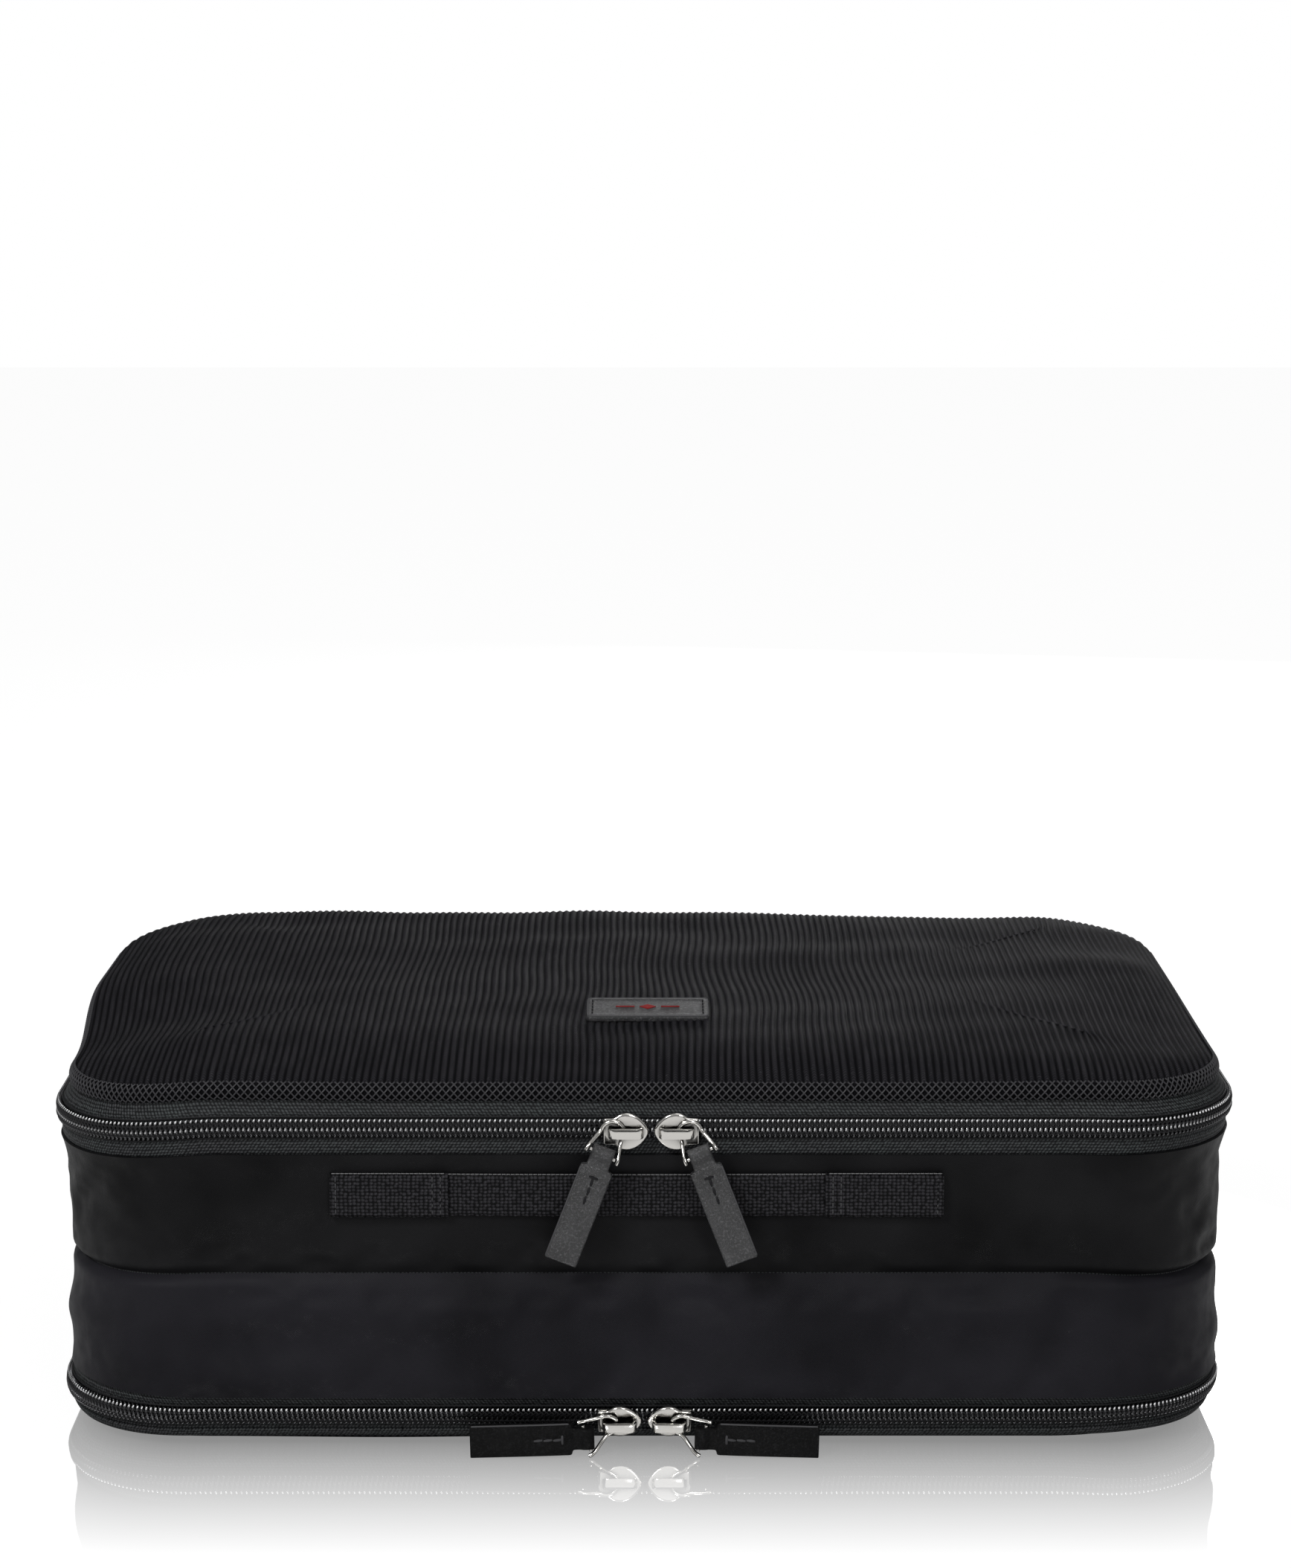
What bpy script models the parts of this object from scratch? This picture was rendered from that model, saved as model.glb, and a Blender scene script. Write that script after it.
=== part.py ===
"""Double-sided packing cube: a zipped fabric bag of two compartments that share one divider.

Run it with blender --background --python part.py. Lengths are in metres and +Z is up.
The origin is the middle of the footprint, on the floor. The front, where the sliders meet, faces -Y.
"""

import math

import bmesh
import bpy
from mathutils import Matrix, Vector

MM = 0.001

# ---- Driving dimensions -------------------------------------------------------------------------
WIDTH = 361 * MM
DEPTH = 229 * MM
CORNER_RADIUS = 45 * MM
CORNER_STEPS = 8
TOP_CHAIN_Z = 101 * MM
BOTTOM_CHAIN_Z = 11 * MM
DIVIDER_Z = 55.5 * MM
CROWN_Z = 121 * MM
GAP = 0.3 * MM  # between neighbours that are sewn together
FABRIC = 1.0 * MM
ZIP_END_Y = DEPTH / 2 - CORNER_RADIUS - 5 * MM  # both zips stop here, in front of the rear corners

# ---- Zip: "out" is measured outwards from the tape's outer face, "along" upwards from the chain's middle
TAPE = 0.8 * MM
TAPE_EDGE = 0.6 * MM  # from the chain's middle to the edge of each tape
COIL_OUT = (0.3 * MM, 2.1 * MM)
COIL_ALONG = (0.7 * MM, 3.1 * MM)
TOP_TAPE_INSET = 1.8 * MM
BOTTOM_TAPE_INSET = 5.4 * MM
BOTTOM_TILT = math.radians(20)  # the lower band turns under by this much

# ---- Sliders and pulls --------------------------------------------------------------------------
SLIDER_HALF = 6.6 * MM
SLIDER_MEET_GAP = 1.8 * MM
TOP_MEET_X = 2 * MM
BOTTOM_MEET_X = 0
OUTER_PLATE = (2.9 * MM, 4.1 * MM)
INNER_PLATE = (-2.2 * MM, -1.2 * MM)
BRIDGE_OUT = (4.4 * MM, 6.0 * MM, 7.2 * MM)  # foot, underside and top of the arch
WIRE_RADIUS = 0.62 * MM
LOOP_RADIUS = 3.4 * MM
LOOP_CENTRE = (3.9 * MM, 5.05 * MM)  # from the slider's middle towards its narrow end, and out
LOOP_REACH = 6.3 * MM  # from the round end's centre to the pin
LOOP_OVERHANG = 1.0 * MM  # from the pin to the wire's tips
LOOP_TIP_HALF = 5.0 * MM
PULL_LENGTH = 35 * MM
PULL_HALF_WIDTH = 5.0 * MM
NECK_HALF_WIDTH = 3.4 * MM
NECK_LENGTH = 4.4 * MM
PULL_HALF_THICK = 1.3 * MM
EYE_RADIUS = 2.4 * MM
EYE_BORE = 0.68 * MM
# How the pulls rest. "rises" is how far the lower and the upper arm of the loop stand out at their tips.
HANGING = {"swing": math.radians(62), "yaw": math.radians(7), "lean": 0.0, "rises": (3.6 * MM, 3.6 * MM)}
LYING = {
    "swing": math.radians(20),
    "yaw": math.radians(-17),
    "lean": math.radians(8),
    "rises": (5.6 * MM, 1.6 * MM),
}

# ---- Handle and label ---------------------------------------------------------------------------
HANDLE_CENTRE_X = -2.3 * MM
HANDLE_HALF_GRIP = 56 * MM
HANDLE_HALF_LENGTH = 91 * MM
HANDLE_BACK_INSET = 1.9 * MM
HANDLE_Z = (74.4 * MM, 87.4 * MM)
WEBBING = 1.5 * MM
TAB_THICK = 2.8 * MM
LABEL_SIZE = (39 * MM, 16 * MM, 2.4 * MM)
LABEL_Y = -50 * MM

COLOURS = {
    "nylon": ((0.010, 0.010, 0.012), 0.45, 0.0),
    "mesh": ((0.012, 0.012, 0.014), 0.75, 0.0),
    "tape": ((0.016, 0.020, 0.021), 0.80, 0.0),
    "coil": ((0.020, 0.020, 0.022), 0.25, 0.0),
    "webbing": ((0.012, 0.012, 0.013), 0.85, 0.0),
    "leather": ((0.018, 0.018, 0.019), 0.50, 0.0),
    "nickel": ((0.72, 0.70, 0.66), 0.15, 1.0),
}


# ---- Shared helpers -----------------------------------------------------------------------------
def clear_scene():
    for obj in list(bpy.data.objects):
        bpy.data.objects.remove(obj)


def material(name):
    found = bpy.data.materials.get(name)
    if found:
        return found
    made = bpy.data.materials.new(name)
    made.use_nodes = True
    colour, roughness, metallic = COLOURS[name]
    shader = made.node_tree.nodes["Principled BSDF"]
    shader.inputs["Base Color"].default_value = (*colour, 1)
    shader.inputs["Roughness"].default_value = roughness
    shader.inputs["Metallic"].default_value = metallic
    return made


def mesh_from_rings(name, rings, wrap=False):
    """Bridges closed rings of points in order. The ends are capped, or joined if wrap is set."""
    bm = bmesh.new()
    loops = [[bm.verts.new(point) for point in ring] for ring in rings]
    pairs = list(zip(loops, loops[1:]))
    if wrap:
        pairs.append((loops[-1], loops[0]))
    for first, second in pairs:
        for i in range(len(first)):
            j = (i + 1) % len(first)
            bm.faces.new((first[i], first[j], second[j], second[i]))
    if not wrap:
        bm.faces.new(loops[0])
        bm.faces.new(loops[-1])
    bmesh.ops.recalc_face_normals(bm, faces=bm.faces)
    mesh = bpy.data.meshes.new(name)
    bm.to_mesh(mesh)
    bm.free()
    mesh.shade_smooth()
    mesh.set_sharp_from_angle(angle=math.radians(35))
    return mesh


def add_object(name, mesh, slot, parent=None, location=(0, 0, 0), rotation=(0, 0, 0)):
    obj = bpy.data.objects.new(name, mesh)
    bpy.context.scene.collection.objects.link(obj)
    obj.location = location
    obj.rotation_euler = rotation
    obj.parent = parent
    if not mesh.materials:
        mesh.materials.append(material(slot))
    return obj


def add_empty(name, parent=None, location=(0, 0, 0), rotation=(0, 0, 0)):
    empty = bpy.data.objects.new(name, None)
    bpy.context.scene.collection.objects.link(empty)
    empty.location = location
    empty.rotation_euler = rotation
    empty.parent = parent
    return empty


def combine(name, first, others, operation="UNION"):
    """The mesh that exact Booleans leave of first and each of others in turn."""
    base = bpy.data.objects.new(name, first)
    bpy.context.scene.collection.objects.link(base)
    helpers = []
    for mesh in others:
        helper = bpy.data.objects.new(name + "_helper", mesh)
        bpy.context.scene.collection.objects.link(helper)
        helper.hide_render = True
        modifier = base.modifiers.new("join", "BOOLEAN")
        modifier.operation = operation
        modifier.object = helper
        helpers.append(helper)
    graph = bpy.context.evaluated_depsgraph_get()
    made = bpy.data.meshes.new_from_object(base.evaluated_get(graph))
    made.name = name
    for obj in [base, *helpers]:
        bpy.data.objects.remove(obj)
    return made


def prism(name, outline, low, high, place):
    """An outline of (u, v) points, extruded from low to high. place(u, v, w) gives each corner's position."""
    return mesh_from_rings(name, [[place(u, v, w) for u, v in outline] for w in (low, high)])


def on_face(u, v, w):
    """A prism whose outline lies in the face of the zip band, extruded outwards."""
    return Vector((u, -w, v))


def from_side(u, v, w):
    """A prism whose outline is seen along the band's face: u along the zip, v outwards, w up the band."""
    return Vector((u, -v, w))


def rectangle(u0, u1, v0, v1):
    return [(u0, v0), (u1, v0), (u1, v1), (u0, v1)]


# ---- The plan outline of the bag ----------------------------------------------------------------
def corner(side_x, side_y, first_degrees):
    """Stations (point, outward normal) round one corner, anticlockwise from above."""
    centre = Vector((side_x * (WIDTH / 2 - CORNER_RADIUS), side_y * (DEPTH / 2 - CORNER_RADIUS)))
    stations = []
    for step in range(CORNER_STEPS + 1):
        angle = math.radians(first_degrees + 90 * step / CORNER_STEPS)
        normal = Vector((math.cos(angle), math.sin(angle)))
        stations.append((centre + CORNER_RADIUS * normal, normal))
    return stations


def side_station(side, y):
    return Vector((side * WIDTH / 2, y)), Vector((side, 0))


def front_path(end_y=ZIP_END_Y):
    """From the left side, round the front, to the right side."""
    return [side_station(-1, end_y), *corner(-1, -1, 180), *corner(1, -1, 270), side_station(1, end_y)]


def rear_path(start_y=ZIP_END_Y + GAP):
    """From the right side, round the back, to the left side."""
    return [side_station(1, start_y), *corner(1, 1, 0), *corner(-1, 1, 90), side_station(-1, start_y)]


def whole_outline():
    return [*corner(-1, -1, 180), *corner(1, -1, 270), *corner(1, 1, 0), *corner(-1, 1, 90)]


def rear_straight():
    half = WIDTH / 2 - CORNER_RADIUS
    return [(Vector((half, DEPTH / 2)), Vector((0, 1))), (Vector((-half, DEPTH / 2)), Vector((0, 1)))]


def at(station, inset, z):
    point, normal = station
    place = point - inset * normal
    return Vector((place.x, place.y, z))


def sweep(name, path, profile, slot, closed=False):
    """Carries a closed profile of (inset, z) points along stations of the outline."""
    rings = [[at(station, inset, z) for inset, z in profile] for station in path]
    return add_object(name, mesh_from_rings(name, rings, wrap=closed), slot)


def shell_profile(curve, thickness=FABRIC):
    """The closed profile of a sheet whose outer face follows the curve."""
    return [*curve, *[(inset + thickness, z) for inset, z in reversed(curve)]]


# ---- The two zip bands --------------------------------------------------------------------------
class Band:
    """Where a zip lies: the chain's height, the tape's inset there, and how far the band turns under."""

    def __init__(self, name, chain_z, inset, tilt, lid_sign):
        self.name, self.chain_z, self.inset, self.tilt = name, chain_z, inset, tilt
        self.lid_sign = lid_sign  # +1 if the lid is above the chain, -1 if below

    def point(self, out, along):
        """(inset, z) of a place given outwards from the tape's face and upwards from the chain."""
        inset = self.inset - out * math.cos(self.tilt) - along * math.sin(self.tilt)
        return inset, self.chain_z - out * math.sin(self.tilt) + along * math.cos(self.tilt)

    def box(self, out, along):
        """A rectangular profile from a pair of out values and a pair of along values."""
        return [self.point(o, a) for o, a in rectangle(*out, *along)]


TOP = Band("top", TOP_CHAIN_Z, TOP_TAPE_INSET, 0.0, 1)
BOTTOM = Band("bottom", BOTTOM_CHAIN_Z, BOTTOM_TAPE_INSET, BOTTOM_TILT, -1)
# How far each tape reaches from the chain's middle, towards the lid and towards the wall.
TAPE_REACH = {"top": (12 * MM, 9 * MM), "bottom": (7.5 * MM, 7.5 * MM)}


def build_zip(band):
    lid_reach, wall_reach = TAPE_REACH[band.name]
    for part, sign, reach in (("lid", band.lid_sign, lid_reach), ("wall", -band.lid_sign, wall_reach)):
        along = sorted((sign * TAPE_EDGE, sign * reach))
        tape_path = front_path(ZIP_END_Y - GAP)
        sweep(f"{band.name}_{part}_tape", tape_path, band.box((-TAPE, 0), along), "tape")
        along = sorted(sign * edge for edge in COIL_ALONG)
        sweep(f"{band.name}_{part}_coil", front_path(ZIP_END_Y - 2 * MM), band.box(COIL_OUT, along), "coil")


# ---- Walls, divider and lids --------------------------------------------------------------------
def build_walls():
    upper = [(0.2, 93), (0.6, 91), (1.6, 89), (2.2, 87.5), (2.6, 80), (2.8, 66), (3.2, 58), (4.0, 56.2)]
    lower = [(4.2, 54.8), (2.8, 53.4), (2.1, 46), (1.8, 34), (1.6, 24), (1.5, 17.4)]
    upper_rear = [(0.8, 100.7), (0.8, 93), *upper[1:]]
    lower_rear = [*lower, (2.2, 13.6), (3.6, 11.45)]
    for name, curve, path in (
        ("upper_front_wall", upper, front_path()),
        ("lower_front_wall", lower, front_path()),
        ("upper_rear_wall", upper_rear, rear_path()),
        ("lower_rear_wall", lower_rear, rear_path()),
    ):
        curve = [(inset * MM, z * MM) for inset, z in curve]
        sweep(name, path, shell_profile(curve), "nylon")


def build_divider():
    """A fabric floor between the compartments. A folded binding covers its edge and the seam."""
    half = 0.4 * MM
    edge = 8 * MM
    rings = [[at(s, edge, DIVIDER_Z + dz) for s in whole_outline()] for dz in (-half, half)]
    add_object("divider_panel", mesh_from_rings("divider_panel", rings), "nylon")
    binding_half = 1.5 * MM
    section = rectangle(5.4 * MM, edge - GAP, -binding_half, binding_half)
    profile = [(inset, DIVIDER_Z + dz) for inset, dz in section]
    sweep("divider_binding", whole_outline(), profile, "tape", closed=True)


def lid_mesh(name, outer, inner):
    """A shallow dish whose outer and inner faces follow curves of (inset, z) from the rim inwards."""
    curves = [*reversed(inner), *outer]
    return mesh_from_rings(name, [[at(s, inset, z) for s in whole_outline()] for inset, z in curves])


def build_top_lid():
    """Ribbed mesh, crowned by what is packed under it. Its skirt hangs outside the tape."""
    skirt_z = 110 * MM
    shoulder_z = 113 * MM
    outer = [(0, skirt_z), (0, shoulder_z)]
    inner = [(FABRIC, skirt_z), (FABRIC, shoulder_z)]
    reach = 40 * MM
    steps = 7
    for step in range(1, steps + 1):
        turn = math.pi / 2 * step / steps
        inset = reach * (1 - math.cos(turn))
        outer.append((inset, shoulder_z + (CROWN_Z - shoulder_z) * math.sin(turn) ** 0.7))
        inner.append((inset + FABRIC, shoulder_z + (CROWN_Z - shoulder_z - FABRIC) * math.sin(turn) ** 0.7))
    add_object("top_lid_mesh", lid_mesh("top_lid_mesh", outer, inner), "mesh")
    rear = [(0.2 * MM, skirt_z - GAP), (0.2 * MM, TOP_CHAIN_Z + TAPE_EDGE)]
    sweep("top_lid_rear_band", rear_path(), shell_profile(rear), "nylon")
    binding = TOP.box((-2.4 * MM, -TAPE - GAP), (9.6 * MM, 12 * MM))
    sweep("top_lid_binding", whole_outline(), binding, "tape", closed=True)


def build_bottom_lid():
    """Plain nylon, flat where the cube stands on it. Its skirt hangs outside the tape."""
    skirt = (-5.5 * MM, -8 * MM)
    outer = [BOTTOM.point(1.4 * MM, along) for along in skirt]
    inner = [BOTTOM.point(0.4 * MM, along) for along in skirt]
    reach = 9 * MM
    steps = 4
    (start_out, height_out), (start_in, height_in) = outer[-1], inner[-1]
    for step in range(1, steps + 1):
        turn = math.pi / 2 * step / steps
        outer.append((start_out + reach * (1 - math.cos(turn)), height_out * (1 - math.sin(turn))))
        height = FABRIC + (height_in - FABRIC) * (1 - math.sin(turn))
        inner.append((start_in + reach * (1 - math.cos(turn)), height))
    add_object("bottom_lid_panel", lid_mesh("bottom_lid_panel", outer, inner), "nylon")
    rear = BOTTOM.box((0.4 * MM, 1.4 * MM), (-5.5 * MM + GAP, -TAPE_EDGE))
    sweep("bottom_lid_rear_band", rear_path(), rear, "nylon")
    binding = BOTTOM.box((-2.6 * MM, -TAPE - GAP), (-7.4 * MM, -5.9 * MM))
    sweep("bottom_lid_binding", whole_outline(), binding, "tape", closed=True)


def build_hinge_strips():
    """Fabric strips sewn inside the rear walls, where each lid turns."""
    strips = (("top", 90 * MM, 100.4 * MM, 2.9 * MM), ("bottom", 12 * MM, 22 * MM, 5.0 * MM))
    for name, low, high, inset in strips:
        sweep(f"{name}_hinge_strip", rear_straight(), rectangle(inset, inset + 0.7 * MM, low, high), "tape")


# ---- Handle and label ---------------------------------------------------------------------------
def front_slab(name, x_range, z_range, back_inset, thickness, slot):
    """A flat strip on the front wall."""
    outline = rectangle(*x_range, *z_range)
    back_y = -DEPTH / 2 + back_inset
    mesh = prism(name, outline, back_y - thickness, back_y, lambda u, v, w: Vector((u, w, v)))
    return add_object(name, mesh, slot)


def build_handle():
    grip = HANDLE_HALF_GRIP - GAP
    ends = (HANDLE_CENTRE_X - grip, HANDLE_CENTRE_X + grip)
    front_slab("handle_grip", ends, HANDLE_Z, HANDLE_BACK_INSET, WEBBING, "webbing")
    tab_z = (HANDLE_Z[0] - GAP, HANDLE_Z[1] + GAP)
    for side, name in ((-1, "handle_tab_left"), (1, "handle_tab_right")):
        ends = sorted(HANDLE_CENTRE_X + side * half for half in (HANDLE_HALF_GRIP, HANDLE_HALF_LENGTH))
        front_slab(name, ends, tab_z, HANDLE_BACK_INSET - GAP, TAB_THICK, "webbing")


def build_label():
    width, depth, thick = LABEL_SIZE
    low = CROWN_Z + GAP
    outline = rectangle(-width / 2, width / 2, LABEL_Y - depth / 2, LABEL_Y + depth / 2)
    mesh = prism("label_patch", outline, low, low + thick, lambda u, v, w: Vector((u, v, w)))
    add_object("label_patch", mesh, "leather")


# ---- Sliders ------------------------------------------------------------------------------------
def plate_outline(facing):
    """A slider's plate: a square narrow end, then an ellipse that comes to a round nose."""
    narrow_half = 4.0 * MM
    centre, long_axis, short_axis = 0.6 * MM, 6.0 * MM, 5.4 * MM
    steps = 12
    start = math.radians(122)
    points = [(-SLIDER_HALF, -narrow_half), (-3.6 * MM, -narrow_half)]
    for step in range(steps + 1):
        angle = -start + 2 * start * step / steps
        points.append((centre + long_axis * math.cos(angle), short_axis * math.sin(angle)))
    points += [(-3.6 * MM, narrow_half), (-SLIDER_HALF, narrow_half)]
    return [(facing * x, along) for x, along in points]


def slider_body_mesh(name, facing, lid_sign):
    """Two plates joined by a post between the coils, with one lip on the wall's side of the chain."""
    overlap = 0.2 * MM
    outer = prism(name, plate_outline(facing), *OUTER_PLATE, on_face)
    inner = prism(name + "_inner", plate_outline(facing), *INNER_PLATE, on_face)
    ends = sorted((facing * 2.4 * MM, facing * 5.6 * MM))
    post_outline = rectangle(*ends, -0.3 * MM, 0.3 * MM)
    post = prism(name + "_post", post_outline, INNER_PLATE[1] - overlap, OUTER_PLATE[0] + overlap, on_face)
    lip_edges = sorted((-lid_sign * 3.5 * MM, -lid_sign * 3.95 * MM))
    lip_ends = sorted((-facing * 6.4 * MM, facing * 3.0 * MM))
    lip = prism(name + "_lip", rectangle(*lip_ends, *lip_edges), 0.5 * MM, OUTER_PLATE[0] + overlap, on_face)
    return combine(name, outer, [inner, post, lip])


def bridge_mesh(name, facing):
    """An arch on the outer plate. The pull's wire passes under it."""
    foot, under, top = BRIDGE_OUT
    half_long, leg, chamfer = 5.2 * MM, 1.1 * MM, 0.8 * MM
    outline = [
        (-half_long, foot),
        (-half_long, top - chamfer),
        (-half_long + chamfer, top),
        (half_long - chamfer, top),
        (half_long, top - chamfer),
        (half_long, foot),
        (half_long - leg, foot),
        (half_long - leg, under),
        (leg - half_long, under),
        (leg - half_long, foot),
    ]
    outline = [(facing * x, out) for x, out in outline]
    return prism(name, outline, -1.6 * MM, 1.6 * MM, from_side)


def arm_point(share, side, rises):
    """(x, out, along) of a point on an arm, a share of the way from the half circle to the tip."""
    ease = share * share * (3 - 2 * share)
    rise = rises[0] if side < 0 else rises[1]
    half = LOOP_RADIUS + (LOOP_TIP_HALF - LOOP_RADIUS) * ease
    return -(LOOP_REACH + LOOP_OVERHANG) * share, rise * ease, side * half


def loop_centreline(facing, rises):
    """The bent wire: a flat half circle, then two arms that flare and stand out to the pin."""
    arm_steps, arc_steps = 5, 10
    lower = [arm_point(step / arm_steps, -1, rises) for step in range(arm_steps, 0, -1)]
    upper = [arm_point(step / arm_steps, 1, rises) for step in range(1, arm_steps + 1)]
    turns = [-math.pi / 2 + math.pi * step / arc_steps for step in range(arc_steps + 1)]
    arc = [(LOOP_RADIUS * math.cos(turn), 0.0, LOOP_RADIUS * math.sin(turn)) for turn in turns]
    return [Vector((facing * x, -out, along)) for x, out, along in [*lower, *arc, *upper]]


def loop_mesh(name, facing, rises):
    """The wire as a mesh, from a curve with a round bevel and filled caps."""
    curve = bpy.data.curves.new(name + "_curve", "CURVE")
    curve.dimensions = "3D"
    curve.bevel_depth = WIRE_RADIUS
    curve.bevel_resolution = 2
    curve.use_fill_caps = True
    line = loop_centreline(facing, rises)
    spline = curve.splines.new("POLY")
    spline.points.add(len(line) - 1)
    for point, place in zip(spline.points, line):
        point.co = (*place, 1)
    guide = bpy.data.objects.new(name + "_guide", curve)
    bpy.context.scene.collection.objects.link(guide)
    mesh = bpy.data.meshes.new_from_object(guide.evaluated_get(bpy.context.evaluated_depsgraph_get()))
    bpy.data.objects.remove(guide)
    mesh.name = name
    mesh.shade_smooth()
    return mesh


def round_outline(radius, steps=12):
    angles = [2 * math.pi * step / steps for step in range(steps)]
    return [(radius * math.cos(angle), radius * math.sin(angle)) for angle in angles]


def pin_mesh(name):
    """The crossbar between the loop's tips."""
    half = LOOP_TIP_HALF - WIRE_RADIUS - GAP
    return prism(name, round_outline(0.6 * MM), -half, half, from_side)


def pull_mesh(name, facing, yaw):
    """A folded leather strap: a rolled eye round the pin, a narrow neck, then the full width.

    The strap is turned by yaw in its own plane, so the bore is turned back to lie along the pin.
    """
    sections = []
    eye_steps = 5
    for step in range(1, eye_steps + 1):
        angle = math.radians(150 * step / eye_steps)
        sections.append((-EYE_RADIUS * math.cos(angle), EYE_RADIUS * math.sin(angle), NECK_HALF_WIDTH))
    sections += [
        (NECK_LENGTH - 0.4 * MM, PULL_HALF_THICK, NECK_HALF_WIDTH),
        (NECK_LENGTH, PULL_HALF_THICK, PULL_HALF_WIDTH),
        (PULL_LENGTH - 0.5 * MM, PULL_HALF_THICK, PULL_HALF_WIDTH),
        (PULL_LENGTH, PULL_HALF_THICK - 0.5 * MM, PULL_HALF_WIDTH - 0.3 * MM),
    ]
    rings = []
    for reach, half_thick, half_wide in sections:
        corners = rectangle(-half_thick, half_thick, -half_wide, half_wide)
        rings.append([Vector((-facing * reach, y, z)) for y, z in corners])
    strap = mesh_from_rings(name, rings)
    bore = prism(name + "_bore", round_outline(EYE_BORE), -9 * MM, 9 * MM, from_side)
    bore.transform(Matrix.Rotation(facing * yaw, 4, "Y"))
    return combine(name, strap, [bore], "DIFFERENCE")


def build_slider(band, side, meet_x, rest):
    """A slider with its bridge, wire loop, pin and leather pull. side is -1 left and +1 right."""
    name = f"{band.name}_{'left' if side < 0 else 'right'}"
    facing = -side  # the slider's nose points to the middle of the front
    x = meet_x + side * (SLIDER_MEET_GAP / 2 + SLIDER_HALF)
    slider = add_empty(name + "_slider", None, (x, -DEPTH / 2 + band.inset, band.chain_z), (band.tilt, 0, 0))
    body = slider_body_mesh(name + "_slider_body", facing, band.lid_sign)
    add_object(name + "_slider_body", body, "nickel", slider)
    add_object(name + "_slider_bridge", bridge_mesh(name + "_slider_bridge", facing), "nickel", slider)

    back, out = LOOP_CENTRE
    swing = add_empty(name + "_swing", slider, (-facing * back, -out, 0), (0, -facing * rest["swing"], 0))
    add_object(name + "_pull_loop", loop_mesh(name + "_pull_loop", facing, rest["rises"]), "nickel", swing)

    share = LOOP_REACH / (LOOP_REACH + LOOP_OVERHANG)
    ends = [Vector(arm_point(share, end, rest["rises"])) for end in (-1, 1)]
    middle = (ends[0] + ends[1]) / 2
    twist = math.atan2(ends[0].y - ends[1].y, ends[1].z - ends[0].z)
    pin = add_empty(name + "_pin_axis", swing, (facing * middle.x, -middle.y, 0), (-twist, 0, 0))
    add_object(name + "_pull_pin", pin_mesh(name + "_pull_pin"), "nickel", pin)
    flip = add_empty(name + "_flip", pin, (0, 0, 0), (0, -facing * rest["yaw"], facing * rest["lean"]))
    add_object(name + "_pull_tab", pull_mesh(name + "_pull_tab", facing, rest["yaw"]), "leather", flip)


def main():
    clear_scene()
    build_walls()
    build_divider()
    build_hinge_strips()
    build_top_lid()
    build_bottom_lid()
    build_handle()
    build_label()
    for band, meet_x, rest in ((TOP, TOP_MEET_X, HANGING), (BOTTOM, BOTTOM_MEET_X, LYING)):
        build_zip(band)
        for side in (-1, 1):
            build_slider(band, side, meet_x, rest)


main()
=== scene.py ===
"""The looks of the packing cube: cloth, zips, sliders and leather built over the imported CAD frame."""

import math

import bmesh
import bpy
import numpy as np
from mathutils import Matrix, Vector

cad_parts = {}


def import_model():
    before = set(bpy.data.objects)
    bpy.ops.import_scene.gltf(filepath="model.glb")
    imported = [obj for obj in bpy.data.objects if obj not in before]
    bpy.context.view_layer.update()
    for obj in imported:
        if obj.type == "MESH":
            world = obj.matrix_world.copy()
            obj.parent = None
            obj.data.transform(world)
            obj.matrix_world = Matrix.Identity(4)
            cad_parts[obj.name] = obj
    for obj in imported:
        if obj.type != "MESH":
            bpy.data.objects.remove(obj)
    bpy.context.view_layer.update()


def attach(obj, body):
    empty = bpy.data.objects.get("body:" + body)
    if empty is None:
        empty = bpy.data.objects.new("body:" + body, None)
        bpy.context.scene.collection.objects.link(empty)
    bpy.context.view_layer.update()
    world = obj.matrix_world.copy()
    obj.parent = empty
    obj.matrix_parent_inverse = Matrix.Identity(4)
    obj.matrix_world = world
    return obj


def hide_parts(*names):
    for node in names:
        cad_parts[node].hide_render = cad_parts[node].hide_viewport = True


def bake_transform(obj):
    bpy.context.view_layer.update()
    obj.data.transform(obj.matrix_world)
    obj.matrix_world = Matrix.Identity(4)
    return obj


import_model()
scene = bpy.context.scene

MM = 0.001
HALF_W, HALF_D, CORNER = 180.5 * MM, 114.5 * MM, 45 * MM
FLAT_X, FLAT_Y = HALF_W - CORNER, HALF_D - CORNER
ARC = CORNER * math.pi / 2
ZIP_END = FLAT_X + ARC + FLAT_Y + 64.5 * MM  # arc length from the front's middle to the end of a zip
HALF_LENGTH = 2 * FLAT_X + 2 * FLAT_Y + 2 * ARC
TOP_Z, BOTTOM_Z, SEAM_Z = 101 * MM, 11 * MM, 55.5 * MM
LID_Z = 112.2 * MM  # where the crown of the upper lid starts
TOP_INSET, BOTTOM_INSET = 1.8 * MM, 5.4 * MM
BOTTOM_TILT = math.radians(20)
RIB = 2.3 * MM
SEAM_GAP = 0.02 * MM  # between a front piece and the rear piece that it meets at the end of a zip
SIDES = ((-1, "left"), (1, "right"))
REAR_LIMIT = HALF_D - 0.1 * MM  # nothing of the cloth passes this line, where the lids hinge


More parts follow.
